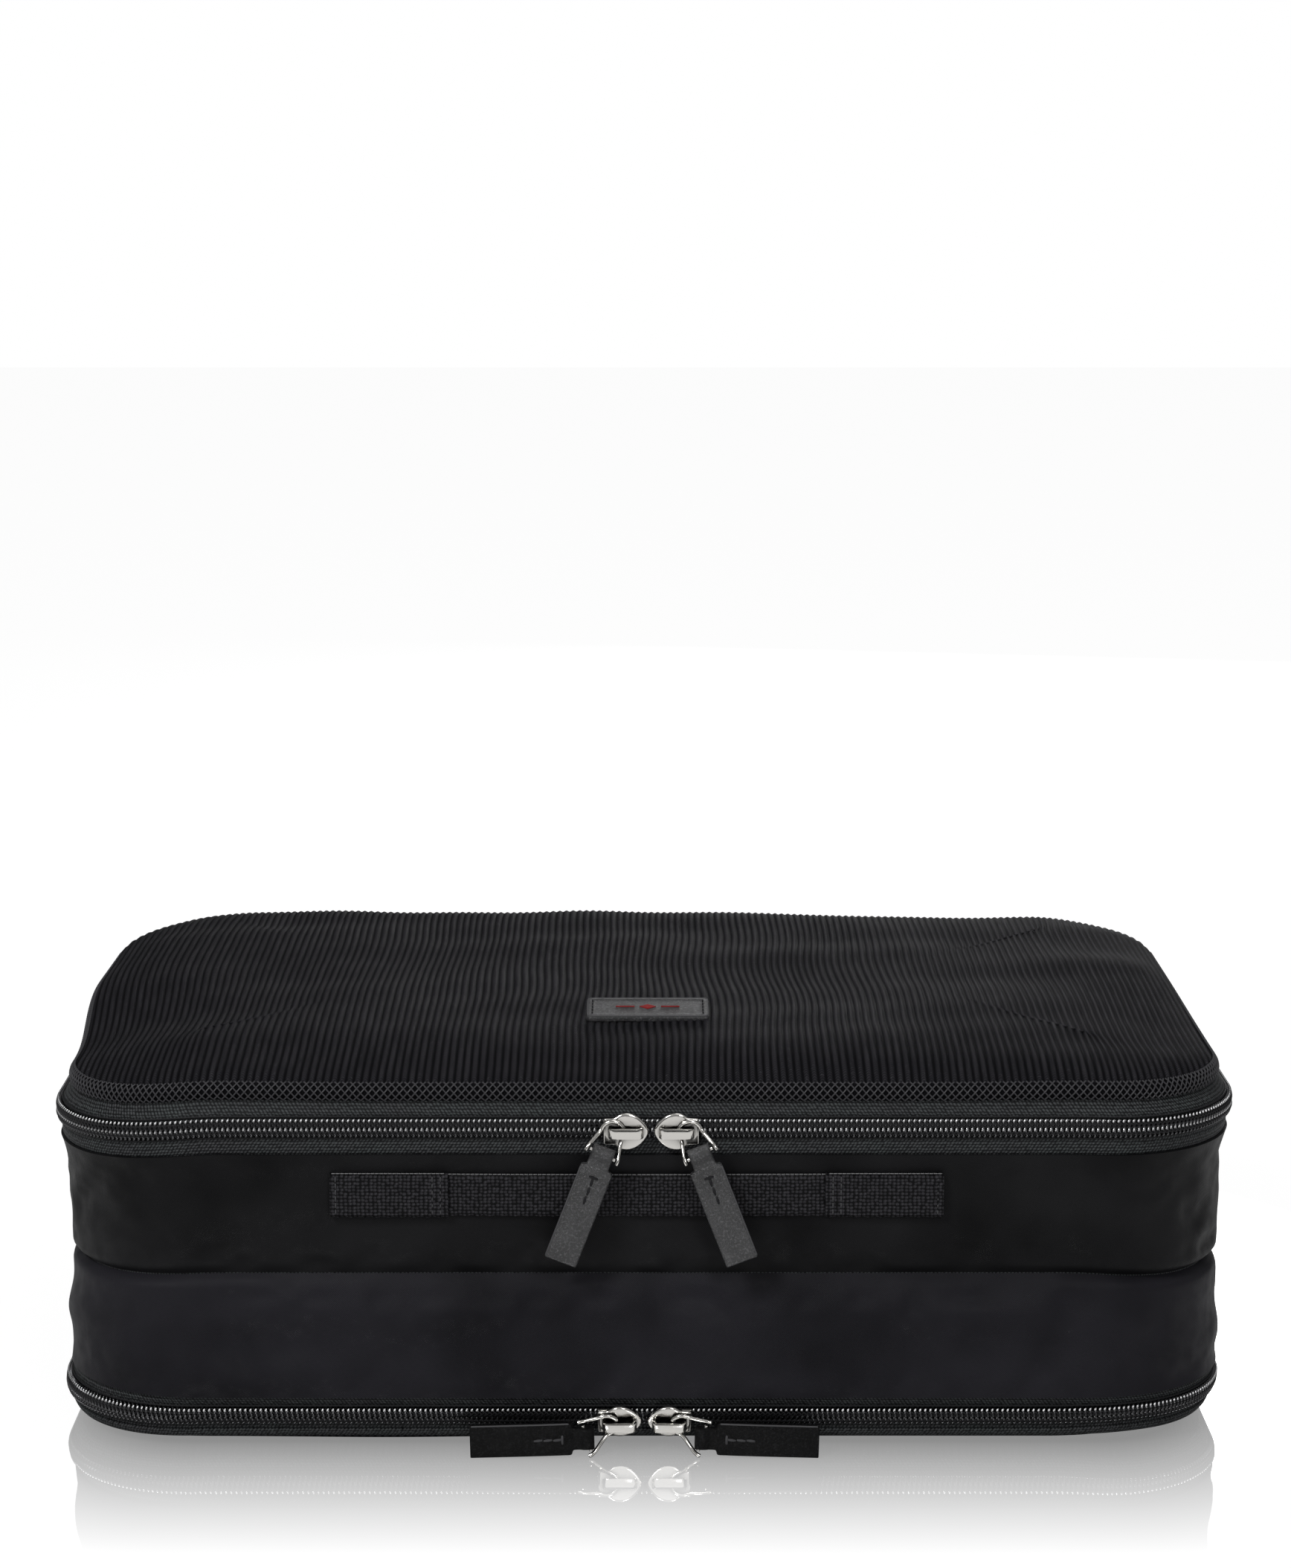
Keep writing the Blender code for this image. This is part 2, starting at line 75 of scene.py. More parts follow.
# ---- Outline of the bag, by arc length from the middle of the front, positive to the right ----
def outline(s):
    """Points and outward normals (n, 2) on the plan outline."""
    s = np.asarray(s, float)
    side, t = np.where(s < 0, -1.0, 1.0), np.abs(s)
    ends = np.cumsum([FLAT_X, ARC, 2 * FLAT_Y, ARC])
    parts = [t <= end for end in ends]  # front, front corner, side, rear corner; the rear is what is left
    front, rear = (t - ends[0]) / CORNER, (t - ends[2]) / CORNER
    nx = np.select(parts, [0, np.sin(front), 1, np.cos(rear)], 0)
    ny = np.select(parts, [-1, -np.cos(front), 0, np.sin(rear)], 1)
    x = np.select(parts, [t, FLAT_X + CORNER * nx, HALF_W, FLAT_X + CORNER * nx], FLAT_X - (t - ends[3]))
    front_y, side_y, rear_y = -FLAT_Y + CORNER * ny, -FLAT_Y + t - ends[1], FLAT_Y + CORNER * ny
    y = np.select(parts, [-HALF_D, front_y, side_y, rear_y], HALF_D)
    return np.stack([side * x, y], -1), np.stack([side * nx, ny], -1)


def waves(u, v, seed, wavelength, count=7):
    """Smooth seeded noise of about unit height over u and v, in metres."""
    rng = np.random.default_rng(seed)
    total = np.zeros(np.broadcast(u, v).shape)
    for _ in range(count):
        angle, phase = rng.uniform(0, math.pi), rng.uniform(0, 2 * math.pi)
        k = 2 * math.pi / (wavelength * rng.uniform(0.6, 1.8))
        total = total + np.sin(k * (u * math.cos(angle) + v * math.sin(angle)) + phase)
    return total / math.sqrt(count)


def smooth(t):
    t = np.clip(t, 0, 1)
    return t * t * (3 - 2 * t)


def wander(s):
    """How far the zip bands stray out and up, in metres. Zero where the sliders run."""
    ease = smooth((np.abs(s) - 0.128) / 0.05)
    return ease * 0.35 * MM * waves(s, 0 * s, 11, 0.16), ease * 0.3 * MM * waves(s, 0 * s, 12, 0.2)


def edge_distance(x, y):
    """How far inside the plan outline a point lies, rounded off along the diagonals."""
    qx, qy = np.abs(x) - FLAT_X, np.abs(y) - FLAT_Y
    outside = np.hypot(np.maximum(qx, 0), np.maximum(qy, 0))
    inner_x, inner_y = np.maximum(-qx, 1e-6), np.maximum(-qy, 1e-6)
    return CORNER - outside + (inner_x**-3.0 + inner_y**-3.0) ** (-1 / 3)


def outward(x, y):
    """The outline's outward direction at a point."""
    qx, qy = np.abs(x) - FLAT_X, np.abs(y) - FLAT_Y
    nx, ny = np.maximum(qx, 0), np.maximum(qy, 0)
    inside = (nx + ny) == 0
    nx, ny = np.where(inside, 1.0 * (qx > qy), nx), np.where(inside, 1.0 * (qx <= qy), ny)
    length = np.hypot(nx, ny)
    return np.sign(x) * nx / length, np.sign(y) * ny / length


def soften(p):
    """The slouch of the filled bag: its sides hang a little, and the lid's cloth draws in over the zip."""
    p = np.asarray(p, float)
    x, y, z = p[..., 0], p[..., 1], p[..., 2]
    side = smooth((np.abs(x) - 0.125) / 0.05) * smooth((0.03 - y) / 0.09)
    upper, middle = np.where(x < 0, 3.4, 0.8) * MM, np.where(x < 0, 2.6, 3.6) * MM
    sag = side * (middle * smooth((z - 0.016) / 0.0395) + (upper - middle) * smooth((z - 0.058) / 0.036))
    lift = 1.3 * MM * smooth((x - 0.122) / 0.03) * smooth((0.02 - z) / 0.012) * smooth((0.03 - y) / 0.08)
    # amount is how far a point moves in. The lid draws in, but bulges at the back left.
    amount = (2.6 + 1.7 * smooth((np.abs(x) - 0.08) / 0.06)) * MM
    amount = amount - 6.2 * MM * smooth((-x - 0.05) / 0.1) * smooth((y + 0.065) / 0.09)
    amount = amount * smooth((z - 0.1035) / 0.0065) * np.clip(1 - edge_distance(x, y) / 0.08, 0, 1)
    # The foot of the sides spreads on the floor, and the side walls draw in.
    foot = np.where(x < 0, 3.6, 1.8) * MM * smooth((np.abs(x) - 0.128) / 0.04) * smooth((0.05 - y) / 0.06)
    amount = amount - foot * smooth((0.019 - z) / 0.011) * (z > 0)
    walls = smooth((z - 0.014) / 0.006)
    amount = amount + 1.5 * MM * smooth((np.abs(x) - 0.13) / 0.04) * walls * smooth((0.096 - z) / 0.008)
    nx, ny = outward(x, y)
    at_rear = smooth((ny - 0.7) / 0.28)
    amount = np.where(amount < 0, amount * (1 - at_rear), amount)  # no bulge at the rear hinges
    y = np.minimum(y - ny * amount, REAR_LIMIT)
    return np.stack([x - nx * amount, y, z - sag + lift], -1)


def place(s, inset, z, stray=1.0):
    """3-D points for arc length, inset and height; the three broadcast together."""
    s, inset, z = np.broadcast_arrays(np.asarray(s, float), inset, z)
    flat = s.ravel()
    point, normal = outline(flat)
    out, up = wander(flat)
    xy = point + normal * (stray * out - inset.ravel())[:, None]
    return soften(np.concatenate([xy, (z.ravel() + stray * up)[:, None]], 1).reshape(*s.shape, 3))


class Band:
    """The tilted strip round the bag that carries one zip."""

    def __init__(self, z, inset, tilt, lid_sign):
        self.z, self.inset, self.tilt, self.lid_sign = z, inset, tilt, lid_sign

    def at(self, s, out, along):
        """Points at arc length s, out from the strip and along its slope."""
        c, d = math.cos(self.tilt), math.sin(self.tilt)
        return place(s, self.inset - out * c - along * d, self.z - out * d + along * c)

    def rows(self, s, out, along):
        """A grid of points for arc lengths s, with out and along in millimetres across it."""
        return self.at(s[:, None], np.atleast_2d(out) * MM, np.atleast_2d(along) * MM)


TOP = Band(TOP_Z, TOP_INSET, 0.0, 1)
BOTTOM = Band(BOTTOM_Z, BOTTOM_INSET, BOTTOM_TILT, -1)


# ---- Meshes ----
def add_mesh(name, verts, faces, material, uv=None, closed=True):
    mesh = bpy.data.meshes.new(name)
    mesh.from_pydata(np.asarray(verts, float).reshape(-1, 3).tolist(), [], faces)
    if uv is not None:
        layer = mesh.uv_layers.new(name="UVMap")
        index = np.zeros(len(mesh.loops), np.int32)
        mesh.loops.foreach_get("vertex_index", index)
        layer.data.foreach_set("uv", (np.asarray(uv).reshape(-1, 2)[index]).astype(np.float32).ravel())
    mesh.materials.append(material)
    if closed:
        mesh.shade_smooth()
        mesh.set_sharp_from_angle(angle=math.radians(42))
        bm = bmesh.new()
        bm.from_mesh(mesh)
        bmesh.ops.recalc_face_normals(bm, faces=bm.faces)
        bm.to_mesh(mesh)
        bm.free()
    obj = bpy.data.objects.new(name, mesh)
    scene.collection.objects.link(obj)
    return obj


def grid_faces(nu, nv, offset=0, wrap_u=False, wrap_v=False, flip=False):
    iu = np.arange(nu if wrap_u else nu - 1)
    iv = np.arange(nv if wrap_v else nv - 1)
    a, b = np.meshgrid(iu, iv, indexing="ij")
    a2, b2 = (a + 1) % nu, (b + 1) % nv
    quads = np.stack([a * nv + b, a2 * nv + b, a2 * nv + b2, a * nv + b2], -1).reshape(-1, 4)
    return (quads[:, ::-1 if flip else 1] + offset).tolist()


def ring_faces(n, m):
    """Faces of a closed form made of n rings of m points, with a cap at each end."""
    return grid_faces(n, m, wrap_v=True) + [list(range(m))[::-1], [(n - 1) * m + k for k in range(m)]]


def normals_of(p):
    n = np.cross(np.gradient(p, axis=0), np.gradient(p, axis=1))
    return n / np.maximum(np.linalg.norm(n, axis=-1, keepdims=True), 1e-12)


def shell(name, outer, inner, material, uv, wrap=False, flip=False):
    """A closed sheet between two (u, v, 3) grids of points."""
    nu, nv = outer.shape[:2]
    count = nu * nv
    faces = grid_faces(nu, nv, 0, wrap, flip=flip) + grid_faces(nu, nv, count, wrap, flip=not flip)
    rim = []
    for i in range(nu if wrap else nu - 1):
        j = (i + 1) % nu
        rim += [(j * nv, i * nv), (i * nv + nv - 1, j * nv + nv - 1)]
    if not wrap:
        last = (nu - 1) * nv
        for k in range(nv - 1):
            rim += [(k, k + 1), (last + k + 1, last + k)]
    faces += [[a, b, b + count, a + count][::-1 if flip else 1] for a, b in rim]
    verts = np.concatenate([outer.reshape(-1, 3), inner.reshape(-1, 3)])
    return add_mesh(name, verts, faces, material, np.concatenate([uv.reshape(-1, 2)] * 2))


def tubes(name, paths, radius, material, sides=6, ref=(0, 0, 1), rounded=True):
    """Round closed tubes along paths (n, m, 3). radius may be a number or one value per path point."""
    p = np.asarray(paths, float)
    if p.ndim == 2:
        p = p[None]
    n, m = p.shape[:2]
    r = np.broadcast_to(np.asarray(radius, float), (m,))
    if rounded:  # taper the ends to a small cap
        tips = []
        for end, step in ((p[:, :1], p[:, :1] - p[:, 1:2]), (p[:, -1:], p[:, -1:] - p[:, -2:-1])):
            step *= np.max(radius) * 0.45 / np.maximum(np.linalg.norm(step, axis=-1, keepdims=True), 1e-12)
            tips.append(end + step)
        p = np.concatenate([tips[0], p, tips[1]], 1)
        r = np.concatenate([[r[0] * 0.55], r, [r[-1] * 0.55]])
        m += 2
    t = np.gradient(p, axis=1)
    t /= np.maximum(np.linalg.norm(t, axis=-1, keepdims=True), 1e-12)
    a = np.cross(t, np.broadcast_to(np.asarray(ref, float), p.shape))
    a /= np.maximum(np.linalg.norm(a, axis=-1, keepdims=True), 1e-12)
    b = np.cross(a, t)
    turn = (np.arange(sides) * 2 * math.pi / sides)[:, None]
    circle = np.cos(turn) * a[:, :, None] + np.sin(turn) * b[:, :, None]
    ring = p[:, :, None] + r[None, :, None, None] * circle
    faces = []
    for i in range(n):
        faces += [[v + i * m * sides for v in face] for face in ring_faces(m, sides)]
    return add_mesh(name, ring.reshape(-1, 3), faces, material)


def refine(p):
    """A Catmull-Rom grid through the points of p, twice as fine along it and three times across."""
    for axis, k in ((0, 2), (1, 3)):
        q = np.moveaxis(p, axis, 0)
        first, last = 2 * q[0] - q[1], 2 * q[-1] - q[-2]
        e = np.concatenate([first[None], q, last[None]])
        rows = []
        for j in range(len(q) - 1):
            a, b, c, d = e[j : j + 4]
            for t in [i / k for i in range(k)]:
                square, cube = 2 * a - 5 * b + 4 * c - d, 3 * b - a - 3 * c + d
                rows.append(0.5 * (2 * b + (c - a) * t + square * t * t + cube * t**3))
        p = np.moveaxis(np.array([*rows, q[-1]]), 0, axis)
    return p


def inflate(p, pressure, cap, slack):
    """Blows the sheet p out by cloth simulation with its border sewn down, and returns the new points."""
    frames, stiffness = 20, 15.0
    nu, nv = p.shape[:2]
    mesh = bpy.data.meshes.new("sheet")
    mesh.from_pydata(p.reshape(-1, 3).tolist(), [], grid_faces(nu, nv))
    obj = bpy.data.objects.new("sheet", mesh)
    scene.collection.objects.link(obj)
    group = obj.vertex_groups.new(name="sewn")
    border = np.ones((nu, nv), bool)
    border[1:-1, 1:-1] = False
    group.add(np.flatnonzero(border).tolist(), 1.0, "REPLACE")
    cloth = obj.modifiers.new("Cloth", "CLOTH")
    st = cloth.settings
    st.quality = 6
    st.mass = 0.12
    st.tension_stiffness = st.compression_stiffness = stiffness
    st.shear_stiffness = stiffness * 0.5
    st.bending_stiffness = 0.4
    st.vertex_group_mass = "sewn"
    st.use_pressure = True
    st.uniform_pressure_force = pressure
    st.shrink_min = -slack
    st.effector_weights.gravity = 0
    cloth.point_cache.frame_start, cloth.point_cache.frame_end = 1, frames
    for f in range(1, frames + 1):
        scene.frame_set(f)
    made = obj.evaluated_get(bpy.context.evaluated_depsgraph_get()).to_mesh()
    co = np.zeros(len(made.vertices) * 3, np.float32)
    made.vertices.foreach_get("co", co)
    bpy.data.objects.remove(obj)
    scene.frame_set(1)
    move = co.reshape(nu, nv, 3).astype(float) - p
    size = np.linalg.norm(move, axis=-1, keepdims=True)
    return p + move * np.minimum(1, cap / np.maximum(size, 1e-12))


# ---- Node materials ----
class Graph:
    """Short hands for building a node tree."""

    def __init__(self, tree):
        self.tree = tree

    def feed(self, socket, value):
        if isinstance(value, bpy.types.NodeSocket):
            self.tree.links.new(value, socket)
        else:
            socket.default_value = value

    def node(self, kind, links=None, **values):
        made = self.tree.nodes.new(kind)
        for key, value in values.items():
            setattr(made, key, value)
        for key, value in (links or {}).items():
            self.feed(made.inputs[key], value)
        return made

    def math(self, operation, a, b=0.0):
        return self.node("ShaderNodeMath", {0: a, 1: b, 2: 0.0}, operation=operation).outputs[0]

    def times(self, a, b):
        return self.math("MULTIPLY", a, b)

    def plus(self, a, b):
        return self.math("ADD", a, b)

    def ramp(self, value, low, high, a=0.0, b=1.0):
        return self.node("ShaderNodeMapRange", {0: value, 1: low, 2: high, 3: a, 4: b}).outputs[0]


class Material(Graph):
    """Builds one Principled material. Sizes on the cloth are in millimetres."""

    def __init__(self, name, colour, roughness, metallic=0.0, specular=None):
        self.mat = bpy.data.materials.new(name)
        self.mat.use_nodes = True
        super().__init__(self.mat.node_tree)
        self.shader = self.tree.nodes["Principled BSDF"]
        self.set("Base Color", (*colour, 1))
        self.set("Roughness", roughness)
        self.set("Metallic", metallic)
        if specular is not None:
            self.set("Specular IOR Level", specular)

    def set(self, key, value):
        self.feed(self.shader.inputs[key], value)

    def uv(self):
        part = self.node("ShaderNodeSeparateXYZ", {0: self.node("ShaderNodeUVMap").outputs[0]})
        return part.outputs[0], part.outputs[1]

    def place(self):
        coords = self.node("ShaderNodeTexCoord").outputs["Object"]
        return self.node("ShaderNodeVectorMath", {0: coords, "Scale": 1000.0}, operation="SCALE").outputs[0]

    def noise(self, size, detail=2.0):
        """Noise of about size millimetres."""
        links = {"Vector": self.place(), "Scale": 1.0 / size, "Detail": detail}
        return self.node("ShaderNodeTexNoise", links).outputs[0]

    def patches(self, size, low, high, a=0.0, b=1.0, detail=2.0):
        """Noise stretched to run from a to b."""
        return self.ramp(self.noise(size, detail), low, high, a, b)

    def wave(self, value, length):
        return self.math("SINE", self.times(value, 2 * math.pi / length))

    def ridge(self, value):
        """0 in the middle of each unit of value, 0.5 at its ends."""
        return self.math("ABSOLUTE", self.math("SUBTRACT", self.math("FRACT", value), 0.5))

    def mix(self, factor, a, b):
        made = self.node("ShaderNodeMix", data_type="RGBA")
        for key, value in ((0, factor), (6, a), (7, b)):
            self.feed(made.inputs[key], (*value, 1) if isinstance(value, tuple) else value)
        return made.outputs[2]

    def bump(self, height, distance, strength=1.0, under=None):
        """Bump of distance millimetres, over another bump if one is given."""
        links = {"Height": height, "Distance": distance * MM, "Strength": strength}
        if under:
            links["Normal"] = under
        made = self.node("ShaderNodeBump", links).outputs[0]
        self.set("Normal", made)
        return made

    def rim(self):
        """0 where a surface faces the eye, 1 where it turns away."""
        return self.ramp(self.node("ShaderNodeLayerWeight").outputs["Facing"], 0.12, 0.5)


def twill(name, dark, light):
    """Smooth nylon with a fine diagonal weave. Broad soft patches between the two shades are painted light
    and shade, in place of the soft folds of slack cloth.
    """
    n = Material(name, dark, 0.46, specular=0.12)
    u, v = n.uv()
    line = n.wave(n.plus(u, v), 0.62)
    weave = n.plus(line, n.times(n.wave(n.math("SUBTRACT", u, v), 0.9), 0.3))
    broad = n.bump(n.noise(9.0, 3.0), 0.35, 0.35)
    n.bump(weave, 0.035, 0.55, broad)
    # Painted light and shade: broad soft patches between the dark and the light shade stand in for the
    # shading of slack cloth.
    base = n.mix(n.patches(34.0, 0.32, 0.62), dark, light)
    n.set("Base Color", n.mix(n.ramp(line, -1, 1, 0.0, 0.35), base, (0.005, 0.005, 0.006)))
    n.set("Roughness", n.patches(4.0, 0.3, 0.7, 0.42, 0.52))
    return n.mat


def knit_mesh():
    """Ribbed warp knit. The ribs are geometry; loops along each rib are bump and colour."""
    n = Material("mesh_knit", (0.02, 0.02, 0.022), 0.62, specular=0.03)
    u, v = n.uv()
    centre = n.ridge(n.plus(n.math("DIVIDE", u, RIB / MM), 0.5))  # 0 on a rib, 0.5 in a groove
    loop = n.wave(n.plus(v, n.times(centre, 1.6)), 1.15)
    net = n.node("ShaderNodeAttribute", attribute_name="net").outputs["Fac"]
    holes_and_groove_shade = n.times(n.ramp(centre, 0.2, 0.42, 1.0, 0.0), n.ramp(net, 0, 1, 1.0, 0.12))
    dots = n.times(n.ramp(loop, -1, 1, 0.35, 1.0), holes_and_groove_shade)
    n.bump(n.plus(dots, n.times(n.noise(0.5), 0.3)), 0.22, 0.8)
    tone = n.mix(n.patches(20.0, 0.3, 0.7), (0.033, 0.032, 0.0375), (0.048, 0.0465, 0.0525))
    links = {0: n.math("DIVIDE", u, 2.6), 1: n.math("DIVIDE", v, 22.0)}
    spot = n.node("ShaderNodeCombineXYZ", links).outputs[0]
    streak = n.node("ShaderNodeTexNoise", {"Vector": spot, "Scale": 1.0, "Detail": 2.0}).outputs[0]
    tone = n.mix(n.ramp(streak, 0.35, 0.65), (0.025, 0.0245, 0.0285), tone)
    tone = n.mix(n.patches(0.9, 0.6, 0.75, 0.0, 0.35), tone, (0.13, 0.128, 0.14))
    # The grooves between the ribs and the gaps between the loops are near black: the open holes of the knit,
    # and painted shade in the grooves.
    n.set("Base Color", n.mix(dots, (0.004, 0.004, 0.005), tone))
    return n.mat


def yarn_loops(n, width, height, vary, stagger):
    """Rows of rounded yarn loops, 0 to 1, of the given size in millimetres on the cloth."""
    u, v = n.uv()
    row = n.math("DIVIDE", v, height)
    along = n.plus(n.math("DIVIDE", u, width), n.times(row, stagger))
    spot = n.node("ShaderNodeCombineXYZ", {0: along, 1: row}).outputs[0]
    links = {"Vector": spot, "Scale": 1.0, "Randomness": vary}
    distance = n.node("ShaderNodeTexVoronoi", links, feature="F1").outputs["Distance"]
    return n.ramp(distance, 0.2, 0.55, 1.0, 0.0)


def tape_knit():
    """Zip tape: a tight knit of small bright loops, slightly green."""
    n = Material("zip_tape_knit", (0.03, 0.032, 0.034), 0.6, specular=0.2)
    u, v = n.uv()
    line = n.wave(n.plus(u, n.times(n.ridge(n.math("DIVIDE", v, 1.7)), 2.1)), 1.1)
    height = n.times(n.ramp(line, -1.0, 0.6, 0.6, 1.0), yarn_loops(n, 1.1, 0.95, 0.25, 0.5))
    n.bump(height, 0.18, 0.9)
    light = n.mix(n.patches(12.0, 0.3, 0.7), (0.098, 0.1, 0.106), (0.102, 0.115, 0.116))
    n.set("Base Color", n.mix(height, (0.006, 0.0065, 0.0075), light))
    return n.mat


def coil_nylon():
    n = Material("coil_nylon", (0.24, 0.24, 0.25), 0.27, 1.0)
    n.bump(n.noise(0.6), 0.03, 0.3)
    # Painted shade: the coil is darker where its surface turns away from the eye.
    n.set("Base Color", n.mix(n.rim(), (0.13, 0.13, 0.135), (0.008, 0.008, 0.009)))
    return n.mat


def coil_painted_glint():
    """Painted highlight for the outside of the coil's bends: a brighter metallic copy of the coil, darker
    where it turns away from the eye.
    """
    n = Material("coil_painted_glint", (0.62, 0.62, 0.63), 0.3, 1.0)
    n.set("Base Color", n.mix(n.rim(), (0.8, 0.8, 0.81), (0.01, 0.01, 0.011)))
    return n.mat


def thread(name, colour, roughness=0.55, specular=0.2, grain=(0.25, 0.04, 0.7)):
    """Plain yarn. grain is the size, the depth and the strength of its bump."""
    n = Material(name, colour, roughness, specular=specular)
    n.bump(n.noise(grain[0]), grain[1], grain[2])
    return n.mat


def webbing():
    """Coarse flat webbing: narrow columns of slanting yarn."""
    n = Material("handle_webbing", (0.02, 0.02, 0.022), 0.7, specular=0.15)
    u, v = n.uv()
    side = n.ridge(n.math("DIVIDE", u, 1.25))
    line = n.wave(n.plus(v, n.times(side, 1.6)), 1.05)
    height = n.times(n.ramp(line, -0.8, 0.8, 0.15, 1.0), n.ramp(side, 0.36, 0.5, 1.0, 0.0))
    height = n.times(n.ramp(height, 0, 1, 0.55, 1.0), yarn_loops(n, 1.25, 1.05, 0.3, 0.0))
    n.bump(height, 0.25, 0.9)
    n.set("Base Color", n.mix(height, (0.003, 0.003, 0.0035), (0.075, 0.073, 0.082)))
    return n.mat


def leather(name, tone):
    """Black leather with a pebbled grain. tone scales its brightness."""
    n = Material(name, (0.02, 0.02, 0.021), 0.42, specular=0.8 * tone)
    links = {"Vector": n.place(), "Scale": 2.3}
    cells = n.node("ShaderNodeTexVoronoi", links, feature="DISTANCE_TO_EDGE").outputs[0]
    grain = n.ramp(cells, 0.0, 0.22)
    n.bump(n.plus(n.times(grain, 0.6), n.times(n.noise(0.8, 3.0), 0.9)), 0.12, 0.8)
    n.set("Roughness", n.patches(1.2, 0.3, 0.7, 0.32, 0.48))
    shades = ((0.026, 0.026, 0.0275), (0.078, 0.078, 0.082), (0.02, 0.02, 0.021))
    low, high, gap = (tuple(tone * c for c in shade) for shade in shades)
    base = n.mix(grain, gap, n.mix(n.patches(9.0, 0.35, 0.65), low, high))
    n.set("Base Color", n.mix(n.patches(0.7, 0.52, 0.72, 0.0, 0.7), base, tuple(2.2 * c for c in high)))
    return n.mat


def nickel():
    n = Material("polished_nickel", (0.80, 0.78, 0.74), 0.13, 1.0)
    # Painted shade: the nickel goes nearly black in crevices and under the bridge, from the ambient
    # occlusion.
    open_air = n.node("ShaderNodeAmbientOcclusion", {"Distance": 4 * MM}).outputs["AO"]
    n.set("Base Color", n.mix(n.ramp(open_air, 0.25, 0.85), (0.02, 0.02, 0.02), (0.86, 0.84, 0.80)))
    n.set("Roughness", n.patches(1.5, 0.3, 0.7, 0.09, 0.17, detail=3.0))
    n.bump(n.noise(2.2), 0.05, 0.12)
    return n.mat


NYLON = twill("nylon_twill", (0.0045, 0.0045, 0.005), (0.0165, 0.0165, 0.0178))
# A lighter copy of the nylon for the lower walls: painted light, as they lean towards the light.
LIT_LOWER_NYLON = twill("nylon_twill_lower_lit", (0.013, 0.0125, 0.016), (0.0265, 0.0255, 0.032))
MESH, TAPE = knit_mesh(), tape_knit()
NET = thread("net_thread", (0.065, 0.064, 0.07), 0.45, 0.3, (0.35, 0.05, 0.6))
COIL, PAINTED_GLINT, WEBBING, NICKEL = coil_nylon(), coil_painted_glint(), webbing(), nickel()
LEATHER = leather("black_leather", 1.0)
# A much darker copy of the leather for the lower pulls: painted shade.
SHADED_LEATHER = leather("black_leather_shaded", 0.14)
DARK_THREAD = thread("dark_thread", (0.02, 0.02, 0.022))
LIGHT_THREAD = thread("light_thread", (0.22, 0.22, 0.225))
GREY_THREAD = thread("grey_thread", (0.085, 0.085, 0.09))
# A grey edge colour, used as a painted highlight along leather edges.
EDGE_HIGHLIGHT = thread("leather_edge_highlight", (0.11, 0.11, 0.115))
RED_THREAD = thread("red_ornament", (0.28, 0.012, 0.012))


def settle(obj, body, *nodes):
    """The piece rides on a body and may replace CAD nodes, which it hides."""
    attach(obj, body)
    if nodes:
        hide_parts(*nodes)
    return obj


# ---- Walls ----
def curve_points(points, count):
    """count points evenly spaced along a polyline of (inset, z) in millimetres."""
    p = np.array(points) * MM
    run = np.concatenate([[0], np.cumsum(np.linalg.norm(np.diff(p, axis=0), axis=1))])
    t = np.linspace(0, run[-1], count)
    return np.stack([np.interp(t, run, p[:, 0]), np.interp(t, run, p[:, 1])], -1), t


def loop_s(s):
    """Arc length wrapped to the range the outline takes."""
    return (s + HALF_LENGTH) % (2 * HALF_LENGTH) - HALF_LENGTH


def wall(name, points, s0, s1, seed, material, node, rear=False):
    """A nylon wall swept from s0 to s1, puffed by simulation, with soft folds."""
    profile, run = curve_points(points, 13 if rear else 11)
    s = np.linspace(s0, s1, int((s1 - s0) / (5 * MM)) + 1)
    p = place((loop_s(s) if rear else s)[:, None], profile[:, 0], profile[:, 1])
    if rear:
        p = refine(inflate(p, 3.0, 1.2 * MM, 0.010))
        handle = 0.0
    else:  # the handle holds the front wall in
        handle = np.exp(-((s[:, None] / (100 * MM)) ** 8)) * smooth((profile[:, 1] - 0.06) / 0.01)
        p = refine(inflate(p, 4.0, (1.0 - 0.7 * handle[..., None]) * MM, 0.012))
        handle = refine(np.repeat(handle[..., None], 3, -1))[..., 0]
    fine_s = np.linspace(s0, s1, p.shape[0])[:, None]
    fine_t = np.linspace(0, run[-1], p.shape[1])[None, :]
    if rear:
        folds = 0.4 * waves(fine_s, 2.2 * fine_t, seed, 0.075)
    else:
        slant = fine_s + 0.9 * np.sign(fine_s) * fine_t
        folds = 0.75 * waves(slant, 2.0 * fine_t, seed, 0.07) + 0.14 * waves(slant, fine_t, seed + 1, 0.024)
    ease = np.maximum(np.sin(np.pi * fine_t / run[-1]), 0) ** 0.7
    n = normals_of(p)
    middle = len(n) // 2
    facing = outline(loop_s(fine_s[middle]))[1][0]
    sign = np.sign(n[middle, n.shape[1] // 2, :2] @ facing)
    p = p + n * sign * (folds * ease * (1 - 0.75 * handle) * MM)[..., None]
    p[..., 1] = np.minimum(p[..., 1], REAR_LIMIT)
    inner = p - normals_of(p) * (0.8 * MM) * sign
    uv = np.stack(np.broadcast_arrays(fine_s / MM, fine_t / MM), -1)
    return settle(shell(name, p, inner, material, uv, flip=sign < 0), "bag", node)


UPPER = [(5.1, 55.65), (4.2, 56.0), (3.3, 57.4), (2.9, 61), (2.7, 68), (2.6, 80), (2.2, 87.5), (1.5, 89.6),
         (0.7, 91.6), (0.5, 93.1)]
LOWER = [(1.5, 17.4), (1.6, 19), (1.7, 24), (1.8, 34), (2.0, 46), (2.5, 52.2), (3.3, 54.2), (4.3, 54.95),
         (5.1, 55.3)]
UPPER_REAR = [*UPPER[:-1], (0.8, 93), (0.8, 100.6)]
LOWER_REAR = [(3.6, 11.5), (2.2, 13.6), *LOWER]
REAR_START = ZIP_END + SEAM_GAP
REAR_END = 2 * HALF_LENGTH - ZIP_END - SEAM_GAP


